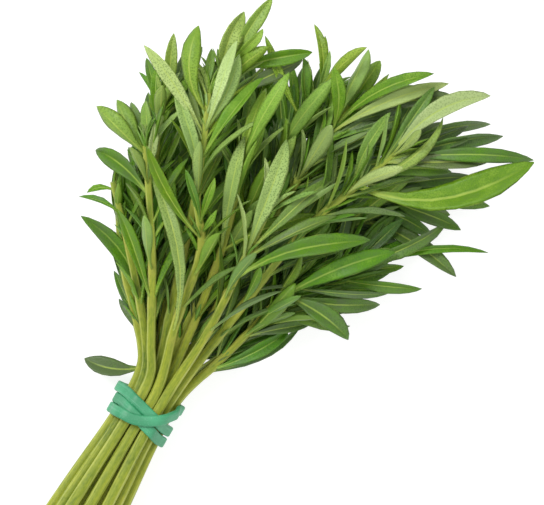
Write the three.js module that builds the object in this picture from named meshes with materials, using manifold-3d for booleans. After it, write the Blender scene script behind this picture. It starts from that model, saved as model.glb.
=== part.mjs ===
// A bunch of fresh savory: nineteen cut leafy stems held by a rubber band that is
// wound round them three times. The bunch lies on its side.
// Sizes are in millimetres and +Z is up. The stems are laid out as one looks down
// on them, x to the right and y away, with the middle of the band at x = y = 0.
// The last group turns the layout so that +X runs from the cut ends to the leaves.

import * as THREE from 'three';
import Module from 'manifold-3d';

const wasm = await Module();
wasm.setup();

// Driving dimensions
const axisAngle = 60;            // the bunch axis in the layout, degrees from x
const stemPitch = 2.9;           // between stem centres under the band
const rowCounts = [3, 4, 5, 4, 3];   // stems in each row under the band, from the top
const stemSides = 4;              // savory has square stems, with a leaf on each flat side
const stemStep = 13;             // length of one straight piece of stem
const stemRadius = { cut: 1.5, band: 1.35, tip: 0.8 };   // from the middle to a corner
const cutLength = { mean: 50, spread: 4 };   // from the band to the cut ends
const waist = { straight: 7, opens: 26 };   // from the band's middle: half the straight stretch
const band = { width: 2.5, thickness: 1.1, chamfer: 0.3, gap: 0.3, lift: 1.3 };
const leafThickness = 0.9;
const leafFold = 0.3;            // how far the edges stand above the rib, per half width
const clearance = 0.3;           // between leaves of two stems
const foliageStart = [26, 24, 19, 15, 14];   // lowest leaves above the band, by row
const whorlStep = { large: 10, small: 16 };   // between pairs of leaves on a stem
const lowWhorl = 32;             // leaves lower than this stand closer to their stem
const topLeafInset = 1.5;        // the last leaves sit this far below a stem's end
const smallLength = 15;          // leaves shorter than this have one ring less

// The leafy part's outline from above, as x and y, that no drawn leaf's tip passes
const outline = [
  [-3.5, 16], [-8.5, 42], [-7.3, 52.5], [-6.8, 61], [-3.8, 68], [-0.3, 76.5], [1.3, 85],
  [7, 89.5], [14, 91.5], [19.5, 92], [24, 97], [28.5, 97], [29.5, 92], [35, 88.5], [41.5, 88.5],
  [46.5, 85], [50, 83.5], [60.5, 82], [70, 80.5], [77, 76], [82, 68], [89, 61], [88, 54],
  [80, 50], [73, 46.5], [68.5, 41.5], [63.5, 37.5], [59.5, 32.5], [57, 27.5], [50, 23.5],
  [46.5, 20], [38.5, 20], [30, 16], [20, 11], [10, 4], [0, 0],
];

// Leaves that are drawn by rule. Their lengths and what goes with them:
const drawn = {
  large: [20, 27],
  small: [8, 13],
  tuft: [13, 17],
  lowRowExtra: 3,                // more length on the lower rows
  young: 0.72,                   // share of the length right at a stem's end
  ripeOver: 60,                  // distance over which that share rises to the whole
  leanLow: [0.35, 0.55],         // away from the stem, in radians, on low whorls
  leanHigh: [0.48, 0.85],        // and on the others
  wobble: 0.25,                  // round the stem, either way
  twist: 0.5,                    // from foot to tip, either way
  faceUp: [0.2, 1.4],            // how much the upper face turns up
  width: [0.155, 0.2],           // per length
  bowIn: 0.05,                   // per length, towards the stem
  bowUp: [0, 0.06],
  shorter: 0.05,                 // share of the length lost with each new try
  tries: 12,
};

// Each stem: its row and place under the band, its way from there as x, y and z, and
// the leaves that show. A leaf is the x and y where it leaves the stem, the x, y and z
// of its tip, its width, how far it bows to the left and how far it is rolled over.
const stems = [
  {
    row: 0,
    place: 0,
    route: [[1.5, 17, 16], [1.8, 39.5, 21], [0.8, 58, 24], [0.2, 66, 25.5]],
    leaves: [
      [0.3, 63.5, -12, 75.8, 28, 5.2, 0, 160],
      [1, 54, -12.3, 65, 19, 4.6, -1.5, 0],
      [0.3, 64, -7, 77.5, 25, 5, 0.5, 165],
      [0.5, 62, -3.5, 77, 22, 3.2, 0, 30],
      [0.8, 58, 2.4, 72, 29, 3.4, -0.5, 10],
    ],
  },
  {
    row: 0,
    place: 1,
    route: [[7.5, 21, 18], [14, 40, 24], [13, 53, 26.5], [15, 69, 29], [16, 79, 29]],
    leaves: [
      [6, 18, 1.2, 61, 28.5, 4.6, -3.4, 12],
      [14, 42.5, 0.5, 66, 32, 4.3, 1.5, 0],
      [13.8, 46, 10.2, 60, 33, 2.6, 0, 0],
      [13.5, 46, 17.5, 58, 32, 2.6, 0, 0],
      [13.5, 44, 18, 50, 31, 2.6, -0.5, 0],
      [13.2, 54, 7.5, 80, 31, 4.2, -1, 0],
      [15, 68, 0, 90.8, 35, 4, -1.2, 10],
      [15, 69, 23, 92, 36, 4.2, 0.4, 0],
      [15.5, 69.5, 23.6, 88.6, 32, 4.6, -1.2, 165],
      [15.5, 74, 13.5, 95.8, 34, 5.4, 3, 165],
    ],
  },
  {
    row: 0,
    place: 2,
    route: [[16, 20, 18.5], [25.8, 39.5, 25], [31, 50, 28]],
    leaves: [
      [25, 38.5, 35.3, 67.5, 33, 6, -1, 10],
      [25.8, 39.5, 47.5, 58.3, 31, 4.6, 1.2, 0],
      [22.5, 33, 56.3, 42.5, 29, 6.2, 1.5, 0],
      [28, 44, 30.5, 61, 33, 3, 0, 30],
    ],
  },
  {
    row: 1,
    place: 0,
    route: [[-0.2, 20, 12.7], [-4, 40, 16], [-8, 57, 19]],
    leaves: [
      [-7.8, 55.5, -14.5, 54.3, 18, 2.6, -1, 20],
      [-6.3, 49, -16.6, 53.3, 16, 2.6, -0.8, 20],
      [-4, 34, -7, 57, 19, 4.8, 1, 0],
    ],
  },
  {
    row: 1,
    place: 1,
    route: [[6.5, 25, 14], [12, 50, 17.5], [18, 75, 21], [22, 88, 23]],
    leaves: [
      [20, 80, 24.8, 99.5, 27, 5.4, 2, 10],
      [21.5, 85, 31.8, 103, 29, 4.2, 0.7, 0],
      [22, 86, 29.5, 95, 26, 3, -0.5, 20],
      [19, 78, 30.8, 90.5, 28, 5, 1, 170],
      [21, 84, 41.8, 89.3, 25, 4, 0.5, 20],
    ],
  },
  {
    row: 1,
    place: 2,
    route: [[11.5, 20, 13.7], [18.5, 38, 18], [22, 50, 22], [24.5, 62, 25]],
    leaves: [
      [19, 39, 25, 68.3, 29, 4.6, 1, 0],
      [22, 50, 30, 71, 30, 3, 0, 10],
      [23.5, 57, 30.3, 80.3, 32, 4.6, 1, 0],
      [24.2, 61, 36, 84, 34, 5, 0.5, 165],
    ],
  },
  {
    row: 1,
    place: 3,
    route: [[17, 16.5, 13.5], [38.5, 43.5, 20], [53, 56, 24], [62.5, 64.3, 27]],
    leaves: [
      [53, 56, 97, 61.8, 29, 8.2, -4.8, 0],
      [53, 56, 74.3, 73, 34, 4, -3.6, 160],
      [54, 57, 76.5, 59.5, 23, 4.4, 2, 10],
      [52, 55, 61.3, 74.3, 31, 4, 1, 0],
      [62.3, 64, 86.2, 78.4, 33, 5.2, 3.8, 0],
      [61, 63, 97, 62.4, 29, 4, 1.6, 10],
      [60, 62, 89.5, 68.5, 21, 4.6, 1.6, 20],
      [62, 63.5, 86.5, 71.5, 24, 3.4, 2.2, 30],
    ],
  },
  {
    row: 2,
    place: 0,
    route: [[-1.2, 18, 8.6], [-5.6, 36, 10], [-6.8, 50, 11]],
    leaves: [
      [-2.5, 21, -16, 48.5, 14, 4.8, -4.8, 0],
      [-2, 16, -9, 44, 10, 4.2, -0.8, 10],
      [-6.5, 46, -6.8, 62.5, 13, 4.2, 0.5, 30],
    ],
  },
  {
    row: 2,
    place: 1,
    route: [[1.5, 25, 9.2], [2.5, 50, 12], [3, 67, 18], [4, 75, 21]],
    leaves: [
      [3.3, 70, 3.3, 86, 27, 3.2, 0.8, 0],
      [3.2, 70, -1.5, 84.5, 23, 2, -2, 30],
      [4, 74, 0.4, 88, 19, 3, 0, 20],
      [4, 74.5, 7.3, 94, 27, 3.4, 0, 20],
    ],
  },
  {
    row: 2,
    place: 2,
    route: [[12, 24, 10.3], [28, 53, 14], [44, 80, 18.5]],
    leaves: [
      [31, 58, 47.8, 83, 30, 6, 1.5, 165],
      [43.9, 79.5, 42.3, 96.3, 25, 2.6, -2, 10],
      [44, 79.8, 45, 93.6, 22, 2, -0.6, 40],
      [43.5, 78.5, 46.2, 89.8, 23, 3, -0.5, 0],
      [42, 76.5, 55.3, 90.3, 27, 3.2, 1.8, 165],
      [39, 72, 30, 93.4, 26, 2.8, 0.5, 0],
      [40, 74, 39.5, 88, 24, 4.5, 0, 30],
    ],
  },
  {
    row: 2,
    place: 3,
    route: [[15, 20.5, 10.3], [30, 45, 15], [46.5, 69.5, 20.5], [51, 76, 21.5]],
    leaves: [
      [46, 69, 75.8, 81.5, 29, 3.8, 1.6, 0],
      [47, 70, 72, 83.8, 31, 3.8, 2.4, 0],
      [46.5, 69.5, 47, 85.5, 31, 4, -1.5, 20],
      [48, 72, 55.8, 90, 26, 5, 0, 150],
      [49, 73.5, 58.8, 87.3, 24, 4.5, 0, 10],
      [50, 75, 61, 84, 22, 3.5, -0.5, 20],
    ],
  },
  {
    row: 2,
    place: 4,
    route: [[21, 14.5, 9.8], [31, 25, 12.5], [37, 32, 13.5]],
    leaves: [
      [33.5, 28, 62.5, 39.5, 22, 6.6, 1.5, 5],
      [34.3, 29, 50.8, 17.5, 15, 5.4, 1.5, 0],
      [32, 26, 51.3, 21, 10, 3.5, -0.5, 30],
      [35, 29.5, 58.8, 26.3, 13, 4.2, -0.8, 10],
      [36, 31, 61.3, 29.3, 11, 2.2, -1.3, 20],
      [16, 10, 36, 20, 9, 4.4, -1.3, 10],
    ],
  },
  {
    row: 3,
    place: 0,
    route: [[-1.2, 20, 5.6], [-5.2, 36, 6.2], [-6.4, 49, 7]],
    leaves: [
      [-1.5, 10.8, -15.3, 12.8, 5, 5.2, 1.8, 10],
    ],
  },
  {
    row: 3,
    place: 1,
    route: [[4.8, 25, 6.2], [9, 50, 7.4], [11, 72, 8.5]],
    leaves: [],
  },
  {
    row: 3,
    place: 2,
    route: [[12, 22, 6.3], [27, 43, 7.8], [43, 62, 10], [49, 70, 11]],
    leaves: [],
  },
  {
    row: 3,
    place: 3,
    route: [[20.3, 14.3, 6], [35, 26, 7.5], [50, 35.5, 9]],
    leaves: [
      [46, 33, 69.3, 30.3, 12, 3.4, -0.3, 10],
      [14, 8.5, 38.8, 20.8, 5, 2.8, -2.7, 30],
      [49.8, 35.5, 86, 39.3, 11, 2.4, 3.7, 20],
      [48, 34.3, 75.4, 46.9, 9, 4, -2, 20],
    ],
  },
  {
    row: 4,
    place: 0,
    route: [[1.8, 22, 3], [0, 42, 3.6], [-2, 60, 4.5]],
    leaves: [],
  },
  {
    row: 4,
    place: 1,
    route: [[9, 24, 3], [19, 50, 3.6], [29, 77, 5]],
    leaves: [],
  },
  {
    row: 4,
    place: 2,
    route: [[15.5, 17, 3], [36, 36, 3.6], [61, 55, 5]],
    leaves: [
      [57, 55, 86.3, 51, 9, 5, 1, 20],
      [60.5, 54.8, 82, 58.5, 8, 4.5, 1, 10],
      [60, 54.5, 76.5, 48.8, 6, 5, 0, 10],
      [52, 48.3, 77.8, 33.3, 14, 4.6, 1.5, 0],
      [58, 54.5, 79, 45, 8, 4.5, 1, 20],
      [52, 50.5, 65.5, 38.3, 6, 4, 0, 10],
      [60.8, 54.9, 83, 71, 12, 4, -5, 10],
      [55, 51.5, 72, 43.5, 6, 4, 1, 20],
    ],
  },
];

// A seeded draw from low to high, the same in each run
function makeDraw(seed) {
  let state = seed;
  return (low, high) => {
    state = (state + 0x6d2b79f5) | 0;
    let mix = Math.imul(state ^ (state >>> 15), 1 | state);
    mix = (mix + Math.imul(mix ^ (mix >>> 7), 61 | mix)) ^ mix;
    return low + (high - low) * (((mix ^ (mix >>> 14)) >>> 0) / 4294967296);
  };
}
const draw = makeDraw(19);

const upward = new THREE.Vector3(0, 0, 1);
const turn = THREE.MathUtils.degToRad(axisAngle);
const along = new THREE.Vector3(Math.cos(turn), Math.sin(turn), 0);
const across = new THREE.Vector3(-Math.sin(turn), Math.cos(turn), 0);

// A point by its way along the bunch axis, its way to the left of it and its height
function fromAxis(u, v, z) {
  return new THREE.Vector3().addScaledVector(along, u).addScaledVector(across, v).setZ(z);
}

// A closed skin over rings of points, with a flat end or one that runs to a point. The
// cut from corner to corner of each side runs the other way round on the next side, so
// both faces of a leaf are split alike.
function loft(rings, heel, tip) {
  const points = rings.flat();
  const size = rings[0].length;
  const faces = [];
  for (let k = 0; k + 1 < rings.length; k += 1) {
    for (let i = 0; i < size; i += 1) {
      const a = k * size + i;
      const b = k * size + (i + 1) % size;
      const c = b + size;
      const d = a + size;
      if (i % 2 === 0) faces.push([a, b, c], [a, c, d]);
      else faces.push([a, b, d], [b, c, d]);
    }
  }
  const last = (rings.length - 1) * size;
  if (heel) {
    points.push(heel);
    for (let i = 0; i < size; i += 1) faces.push([(i + 1) % size, i, points.length - 1]);
  } else {
    for (let i = 1; i + 1 < size; i += 1) faces.push([0, i + 1, i]);
  }
  if (tip) {
    points.push(tip);
    for (let i = 0; i < size; i += 1) faces.push([last + i, last + (i + 1) % size, points.length - 1]);
  } else {
    for (let i = 1; i + 1 < size; i += 1) faces.push([last, last + i, last + i + 1]);
  }
  return toSolid(points, faces);
}

// A solid whose faces point out, whichever way round its rings were given
function toSolid(points, faces) {
  let volume = 0;
  const normal = new THREE.Vector3();
  for (const [a, b, c] of faces) volume += points[a].dot(normal.crossVectors(points[b], points[c]));
  const outward = volume > 0 ? faces : faces.map(([a, b, c]) => [a, c, b]);
  return new wasm.Manifold(new wasm.Mesh({
    numProp: 3,
    vertProperties: new Float32Array(points.flatMap((point) => point.toArray())),
    triVerts: new Uint32Array(outward.flat()),
  }));
}

function toMesh(name, solid, material) {
  const { vertProperties, triVerts } = solid.getMesh();
  const geometry = new THREE.BufferGeometry();
  geometry.setAttribute('position', new THREE.BufferAttribute(vertProperties, 3));
  geometry.setIndex(new THREE.BufferAttribute(triVerts, 1));
  geometry.computeVertexNormals();
  const mesh = new THREE.Mesh(geometry, material);
  mesh.name = name;
  return mesh;
}

// Stems
const rowStep = stemPitch * Math.sin(Math.PI / 3);
const lowestRow = band.thickness + band.gap + stemRadius.band;
const bundleHeight = lowestRow + rowStep * (rowCounts.length - 1) / 2;

// Below the band the stems spread again: how much wider apart, how much higher and
// how much lower as a whole at the cut ends, halfway to them and at the two ends of
// their straight stretch in the band.
const spreads = [
  { wide: 1.6, high: 1.12, drop: 0.9 },
  { wide: 1.33, high: 1.06, drop: 0.4 },
  { wide: 1.03, high: 1, drop: 0 },
  { wide: 1.03, high: 1, drop: 0 },
];
const bandIndex = 2.5;           // the band lies midway between the last two
const curveSteps = 40;           // for measuring a stem's length, between two points of its way

function layStem({ row, place, route }) {
  const v = ((rowCounts[row] - 1) / 2 - place) * stemPitch;
  const z = lowestRow + (rowCounts.length - 1 - row) * rowStep;
  const cut = cutLength.mean + draw(-cutLength.spread, cutLength.spread);
  const places = [-cut, -waist.opens, -waist.straight, waist.straight];
  const points = spreads.map(({ wide, high, drop }, i) => (
    fromAxis(places[i], v * wide, lowestRow + (z - lowestRow) * high - drop)
  ));
  for (const point of route) points.push(new THREE.Vector3(...point));
  const curve = new THREE.CatmullRomCurve3(points, false, 'catmullrom', 0.5);
  const steps = curveSteps * (points.length - 1);
  curve.arcLengthDivisions = steps;
  const lengths = curve.getLengths(steps);
  return { curve, total: lengths[steps], bandAt: lengths[curveSteps * bandIndex] };
}

// Directions at a distance above the band: along the stem, sideways and upwards
function stemFrame(stem, distance) {
  const at = THREE.MathUtils.clamp((stem.bandAt + distance) / stem.total, 0, 1);
  const point = stem.curve.getPointAt(at);
  const ahead = stem.curve.getTangentAt(at);
  const side = new THREE.Vector3().crossVectors(upward, ahead).normalize();
  const over = new THREE.Vector3().crossVectors(ahead, side);
  return { point, ahead, side, over };
}

// Distances from start to end, both included, at most a stem step apart
function evenSteps(start, end) {
  const count = Math.ceil((end - start) / stemStep);
  return Array.from({ length: count + 1 }, (_, k) => start + (end - start) * k / count);
}

function stemRadiusAt(stem, distance) {
  if (distance < 0) return stemRadius.band - (stemRadius.cut - stemRadius.band) * distance / cutLength.mean;
  const top = stem.total - stem.bandAt;
  return stemRadius.band - (stemRadius.band - stemRadius.tip) * distance / top;
}

// Straight pieces, one of them under the band
function stemSolid(stem) {
  const top = stem.total - stem.bandAt;
  const below = evenSteps(-stem.bandAt, -waist.straight);
  const above = evenSteps(waist.straight, top);
  const rings = [];
  for (const distance of [...below, ...above]) {
    const { point, side, over } = stemFrame(stem, distance);
    const radius = stemRadiusAt(stem, distance);
    const ring = [];
    for (let i = 0; i < stemSides; i += 1) {
      const angle = 2 * Math.PI * (i + 0.5) / stemSides;
      ring.push(point.clone()
        .addScaledVector(side, radius * Math.cos(angle))
        .addScaledVector(over, radius * Math.sin(angle)));
    }
    rings.push(ring);
  }
  return { solid: loft(rings), boxes: ringBoxes(rings) };
}

// Leaves
const leafPlan = [[0.16, 0.48], [0.46, 1], [0.78, 0.78]];   // how far along, and how wide
const smallLeafPlan = [[0.25, 0.75], [0.66, 0.85]];
const foot = { depth: 0.5, turnOut: 0.35, reach: 2.5 };   // past the stem's middle, and its turn

// Boxes round each stretch between two rings, grown by a margin
function ringBoxes(rings, margin = 0) {
  const boxes = [];
  for (let k = 0; k + 1 < rings.length; k += 1) {
    boxes.push(new THREE.Box3().setFromPoints([...rings[k], ...rings[k + 1]]).expandByScalar(margin));
  }
  return boxes;
}

// A leaf is a folded blade: left edge, rib, right edge and keel at each ring, and one
// point at the tip and one at its foot in the stem. It keeps above the surface that
// the bunch lies on.
function leafRings({ root, tip, bend, face, width, twist, small }) {
  const plan = small ? smallLeafPlan : leafPlan;
  const chord = tip.clone().sub(root);
  const rings = [];
  for (const [t, share] of plan) {
    const centre = root.clone().addScaledVector(chord, t).addScaledVector(bend, 4 * t * (1 - t));
    const ahead = chord.clone().addScaledVector(bend, 4 - 8 * t).normalize();
    const normal = face.clone().addScaledVector(ahead, -face.dot(ahead)).normalize();
    normal.applyAxisAngle(ahead, twist * t);
    const side = new THREE.Vector3().crossVectors(ahead, normal);
    rings.push({ centre, normal, side, half: width * share / 2 });
  }
  return rings;
}

function leafShape(leaf, margin = 0) {
  const rings = leafRings(leaf).map(({ centre, normal, side, half }) => {
    const thick = leafThickness / 2;
    const edge = (sign, lift) => centre.clone()
      .addScaledVector(side, sign * (half + margin))
      .addScaledVector(normal, leafFold * half + lift);
    const rib = (lift) => centre.clone().addScaledVector(normal, lift);
    const ring = margin === 0
      ? [edge(-1, 0), rib(thick), edge(1, 0), rib(-thick)]
      : [edge(-1, margin), rib(thick + margin), edge(1, margin),
        edge(1, -margin), rib(-thick - margin), edge(-1, -margin)];
    const lowest = Math.min(...ring.map((point) => point.z + margin));
    if (lowest < 0) ring.forEach((point) => { point.z -= lowest; });
    return ring;
  });
  const tip = leaf.tip.clone().addScaledVector(leaf.tip.clone().sub(leaf.root).normalize(), margin);
  const heel = footPoint(leaf);
  const boxes = ringBoxes([[heel], ...rings, [tip]]);
  return { rings, heel, tip, boxes };
}

// Where a leaf starts inside its stem: further on than its root, so that it comes out
// of the stem steeply before it turns along it
function footPoint({ root, tip, bend, stemAhead, room }) {
  const t = leafPlan[0][0];
  const first = tip.clone().sub(root).multiplyScalar(t).addScaledVector(bend, 4 * t * (1 - t));
  const forward = first.dot(stemAhead);
  const outward = first.clone().addScaledVector(stemAhead, -forward);
  const furthest = Math.min(foot.reach, room);
  const shift = THREE.MathUtils.clamp(forward - foot.turnOut * outward.length(), 0, furthest);
  return root.clone().addScaledVector(stemAhead, shift).addScaledVector(outward.normalize(), -foot.depth);
}

const pieces = [];               // what is placed so far, for the clearance test

function boxesMeet(first, second) {
  return first.some((a) => second.some((b) => a.intersectsBox(b)));
}

// Whether a leaf keeps clear of every other stem's pieces. On its own stem only its
// outer part has to.
function isClear(leaf, stemIndex) {
  const test = leafShape(leaf, clearance);
  const near = pieces.filter((piece) => boxesMeet(test.boxes, piece.boxes));
  const others = near.filter((piece) => piece.stemIndex !== stemIndex);
  const own = near.filter((piece) => piece.stemIndex === stemIndex && piece.isLeaf);
  return !meets(test.rings, test.heel, test.tip, others) && !meets(test.rings, null, test.tip, own);
}

function meets(rings, heel, tip, others) {
  if (others.length === 0) return false;
  const solid = loft(rings, heel, tip);
  const found = others.some((piece) => {
    const shared = solid.intersect(piece.solid);
    const hit = !shared.isEmpty();
    shared.delete();
    return hit;
  });
  solid.delete();
  return found;
}

function placeLeaf(leaf, stemIndex) {
  const { rings, heel, tip, boxes } = leafShape(leaf);
  pieces.push({ solid: loft(rings, heel, tip), boxes, stemIndex, isLeaf: true });
}

// How far a leaf's foot may run on inside its stem before the stem ends
function roomAbove(stem, distance) {
  return Math.max(0, stem.total - stem.bandAt - distance - topLeafInset / 2);
}

// The distance above the band of the stem's point nearest to x and y
function nearestOnStem(stem, x, y) {
  const top = stem.total - stem.bandAt - topLeafInset;
  let best = 0;
  let least = Infinity;
  for (let distance = 0; distance < top; distance += 0.5) {
    const { point } = stemFrame(stem, distance);
    const gap = Math.hypot(point.x - x, point.y - y);
    if (gap < least) {
      least = gap;
      best = distance;
    }
  }
  return best;
}

// A leaf that shows, tried at its own height first and then a little above and below
const heightTries = [0, 2, -2, 4, -4, 6, -6, 9, -9, 12];
const lowestTip = 1;
const arch = 0.05;               // how far it arches up, per length

function placeShownLeaf(stem, stemIndex, [rootX, rootY, x, y, z, width, bow, roll]) {
  const distance = nearestOnStem(stem, rootX, rootY);
  const room = roomAbove(stem, distance);
  const { point: root, ahead } = stemFrame(stem, distance);
  for (const lift of heightTries) {
    const tip = new THREE.Vector3(x, y, Math.max(z + lift, lowestTip));
    const chord = tip.clone().sub(root);
    const left = new THREE.Vector3(-chord.y, chord.x, 0).normalize();
    const bend = left.multiplyScalar(bow).addScaledVector(upward, arch * chord.length());
    const face = upward.clone().applyAxisAngle(chord.clone().normalize(), THREE.MathUtils.degToRad(roll));
    const small = chord.length() < smallLength;
    const leaf = { root, tip, bend, face, width, twist: 0, small, stemAhead: ahead, room };
    if (isClear(leaf, stemIndex)) {
      placeLeaf(leaf, stemIndex);
      return true;
    }
  }
  return false;
}

// Is a point over the leafy part, seen from above
function isOverBunch({ x, y }) {
  let inside = false;
  outline.forEach(([fromX, fromY], k) => {
    const [toX, toY] = outline[(k + 1) % outline.length];
    const edgeX = fromX + (toX - fromX) * (y - fromY) / (toY - fromY);
    if ((fromY > y) !== (toY > y) && x < edgeX) inside = !inside;
  });
  return inside;
}

// A leaf by rule: drawn round its place, and drawn again a little shorter until clear
function placeDrawnLeaf(stem, stemIndex, distance, azimuth, length, small) {
  const { point, ahead, side, over } = stemFrame(stem, distance);
  const room = roomAbove(stem, distance);
  for (let attempt = 0; attempt < drawn.tries; attempt += 1) {
    const reach = length * (1 - drawn.shorter * attempt);
    const angle = azimuth + draw(-drawn.wobble, drawn.wobble) * (1 + attempt / 2);
    const lean = draw(...(distance < lowWhorl ? drawn.leanLow : drawn.leanHigh));
    const radial = side.clone()
      .multiplyScalar(Math.cos(angle))
      .addScaledVector(over, Math.sin(angle));
    const tip = point.clone()
      .addScaledVector(ahead, reach * Math.cos(lean))
      .addScaledVector(radial, reach * Math.sin(lean));
    tip.z = Math.max(tip.z, 0);
    if (!isOverBunch(tip)) continue;
    const bend = radial.clone()
      .multiplyScalar(-drawn.bowIn * reach)
      .addScaledVector(upward, draw(...drawn.bowUp) * reach);
    const face = ahead.clone()
      .addScaledVector(radial, -1)
      .addScaledVector(upward, draw(...drawn.faceUp));
    const width = reach * draw(...drawn.width);
    const twist = draw(-drawn.twist, drawn.twist);
    const leaf = { root: point, tip, bend, face, width, twist, small, stemAhead: ahead, room };
    if (isClear(leaf, stemIndex)) {
      placeLeaf(leaf, stemIndex);
      return true;
    }
  }
  return false;
}

const layout = stems.map(layStem);
layout.forEach((stem, stemIndex) => pieces.push({ ...stemSolid(stem), stemIndex, isLeaf: false }));
stems.forEach(({ leaves }, stemIndex) => {
  leaves.forEach((leaf) => placeShownLeaf(layout[stemIndex], stemIndex, leaf));
});

// Pairs of leaves all the way up each stem, each pair a quarter turn from the last,
// and a tuft at the end. Smaller leaves come after them on the other two sides.
function fillStem(stem, stemIndex, small) {
  const { row } = stems[stemIndex];
  const top = stem.total - stem.bandAt;
  const last = top - 2 * topLeafInset;
  const step = small ? whorlStep.small : whorlStep.large;
  const extra = row > 1 ? drawn.lowRowExtra : 0;
  let quarter = small ? Math.PI / 2 : 0;
  for (let distance = foliageStart[row]; distance < last; distance += step) {
    const ripe = Math.min(1, drawn.young + (top - distance) / drawn.ripeOver);
    for (const opposite of [0, Math.PI]) {
      const length = small ? draw(...drawn.small) : draw(...drawn.large) * ripe + extra;
      placeDrawnLeaf(stem, stemIndex, distance + draw(-1, 1), quarter + opposite, length, small);
    }
    quarter += Math.PI / 2;
  }
  if (small) return;
  for (const opposite of [0, Math.PI]) {
    const length = draw(...drawn.tuft);
    placeDrawnLeaf(stem, stemIndex, top - topLeafInset, quarter + opposite, length, false);
  }
}
layout.forEach((stem, stemIndex) => fillStem(stem, stemIndex, false));
layout.forEach((stem, stemIndex) => fillStem(stem, stemIndex, true));

// The band: one closed strip that goes round three times. Its way is counted in turns
// from the left of the bundle over the top. It shifts along the bunch between the
// places given, and is raised where it crosses itself on top.
const bandShift = [
  [0, 3], [0.04, 3], [0.46, -1.8], [0.6, -1.8], [0.93, -0.5], [1.05, -0.5], [1.46, -4.9],
  [1.65, -4.9], [1.93, -4.2], [2.1, -4.2], [2.2, -3.8], [2.5, 4.2], [2.7, 4.2], [2.97, 3], [3, 3],
];
const bandRaise = [[0, 0], [2.04, 0], [2.11, 1], [2.41, 1], [2.47, 0], [3, 0]];
const bandTurns = 3;
const stationsPerTurn = 30;
const corners = 6;               // the bundle is a hexagon with a stem at each corner

// A rounded hexagon round the corner stems: where it is and which way is out, by turns
// from the left over the top
function roundBundle(turns, radius) {
  const side = 2 * stemPitch;
  const cornerTurn = 2 * Math.PI / corners;
  const arc = radius * cornerTurn;
  const sector = (turns * corners) % corners;
  const corner = Math.floor(sector + 0.5);
  const share = sector + 0.5 - corner;
  const cornerAngle = Math.PI - corner * cornerTurn;
  const cornerPoint = new THREE.Vector2(Math.cos(cornerAngle), Math.sin(cornerAngle)).multiplyScalar(side);
  const walked = (share - 0.5) * (side + arc);
  const offArc = Math.max(Math.abs(walked) - arc / 2, 0) * Math.sign(walked);
  const outAngle = cornerAngle - (walked - offArc) / radius;
  const out = new THREE.Vector2(Math.cos(outAngle), Math.sin(outAngle));
  const forward = new THREE.Vector2(out.y, -out.x);
  const point = cornerPoint.addScaledVector(out, radius).addScaledVector(forward, offArc);
  return { point, out };
}

// The value at a turn, eased between the places given
function eased(places, turns) {
  const k = Math.max(1, places.findIndex(([at]) => at >= turns));
  const [before, low] = places[k - 1];
  const [after, high] = places[k];
  return low + (high - low) * THREE.MathUtils.smoothstep(turns, before, after);
}

function bandSolid() {
  const base = stemRadius.band + band.gap + band.thickness / 2;
  const count = bandTurns * stationsPerTurn;
  const centres = [];
  const outs = [];
  for (let k = 0; k < count; k += 1) {
    const turns = k / stationsPerTurn;
    const { point, out } = roundBundle(turns, base + eased(bandRaise, turns) * band.lift);
    centres.push(fromAxis(eased(bandShift, turns), -point.x, bundleHeight + point.y));
    outs.push(fromAxis(0, -out.x, out.y));
  }
  const half = band.width / 2;
  const thick = band.thickness / 2;
  const section = [
    [-half, 0], [-half + band.chamfer, thick], [half - band.chamfer, thick],
    [half, 0], [half - band.chamfer, -thick], [-half + band.chamfer, -thick],
  ];
  const points = [];
  const faces = [];
  for (let k = 0; k < count; k += 1) {
    const ahead = centres[(k + 1) % count].clone().sub(centres[(k + count - 1) % count]).normalize();
    const out = outs[k].clone().addScaledVector(ahead, -outs[k].dot(ahead)).normalize();
    const wide = new THREE.Vector3().crossVectors(ahead, out);
    section.forEach(([w, t], i) => {
      points.push(centres[k].clone().addScaledVector(wide, w).addScaledVector(out, t));
      const a = k * section.length + i;
      const b = k * section.length + (i + 1) % section.length;
      const c = (b + section.length) % (count * section.length);
      const d = (a + section.length) % (count * section.length);
      faces.push([a, b, c], [a, c, d]);
    });
  }
  return toSolid(points, faces);
}

// Assembly
const greens = [0x4c7a29, 0x56852f, 0x457226, 0x5f8f36].map((color) => (
  new THREE.MeshStandardMaterial({ color, roughness: 0.6, flatShading: true })
));
const layoutGroup = new THREE.Group();
stems.forEach((_, stemIndex) => {
  const solid = pieces
    .filter((piece) => piece.stemIndex === stemIndex)
    .map((piece) => piece.solid)
    .reduce((whole, piece) => whole.add(piece));
  const name = `sprig_${String(stemIndex + 1).padStart(2, '0')}`;
  layoutGroup.add(toMesh(name, solid, greens[stemIndex % greens.length]));
});
const teal = new THREE.MeshStandardMaterial({ color: 0x3fae86, roughness: 0.5 });
layoutGroup.add(toMesh('rubber_band', bandSolid(), teal));

const bunch = new THREE.Group();
layoutGroup.rotation.z = -turn;
bunch.add(layoutGroup);
bunch.updateMatrixWorld(true);
const box = new THREE.Box3().setFromObject(bunch, true);
const middle = box.getCenter(new THREE.Vector3());
layoutGroup.position.set(-middle.x, -middle.y, -box.min.z);

export default bunch;
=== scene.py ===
import math
import random

import bmesh
import bpy
import numpy as np
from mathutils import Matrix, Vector
from mathutils.kdtree import KDTree


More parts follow.
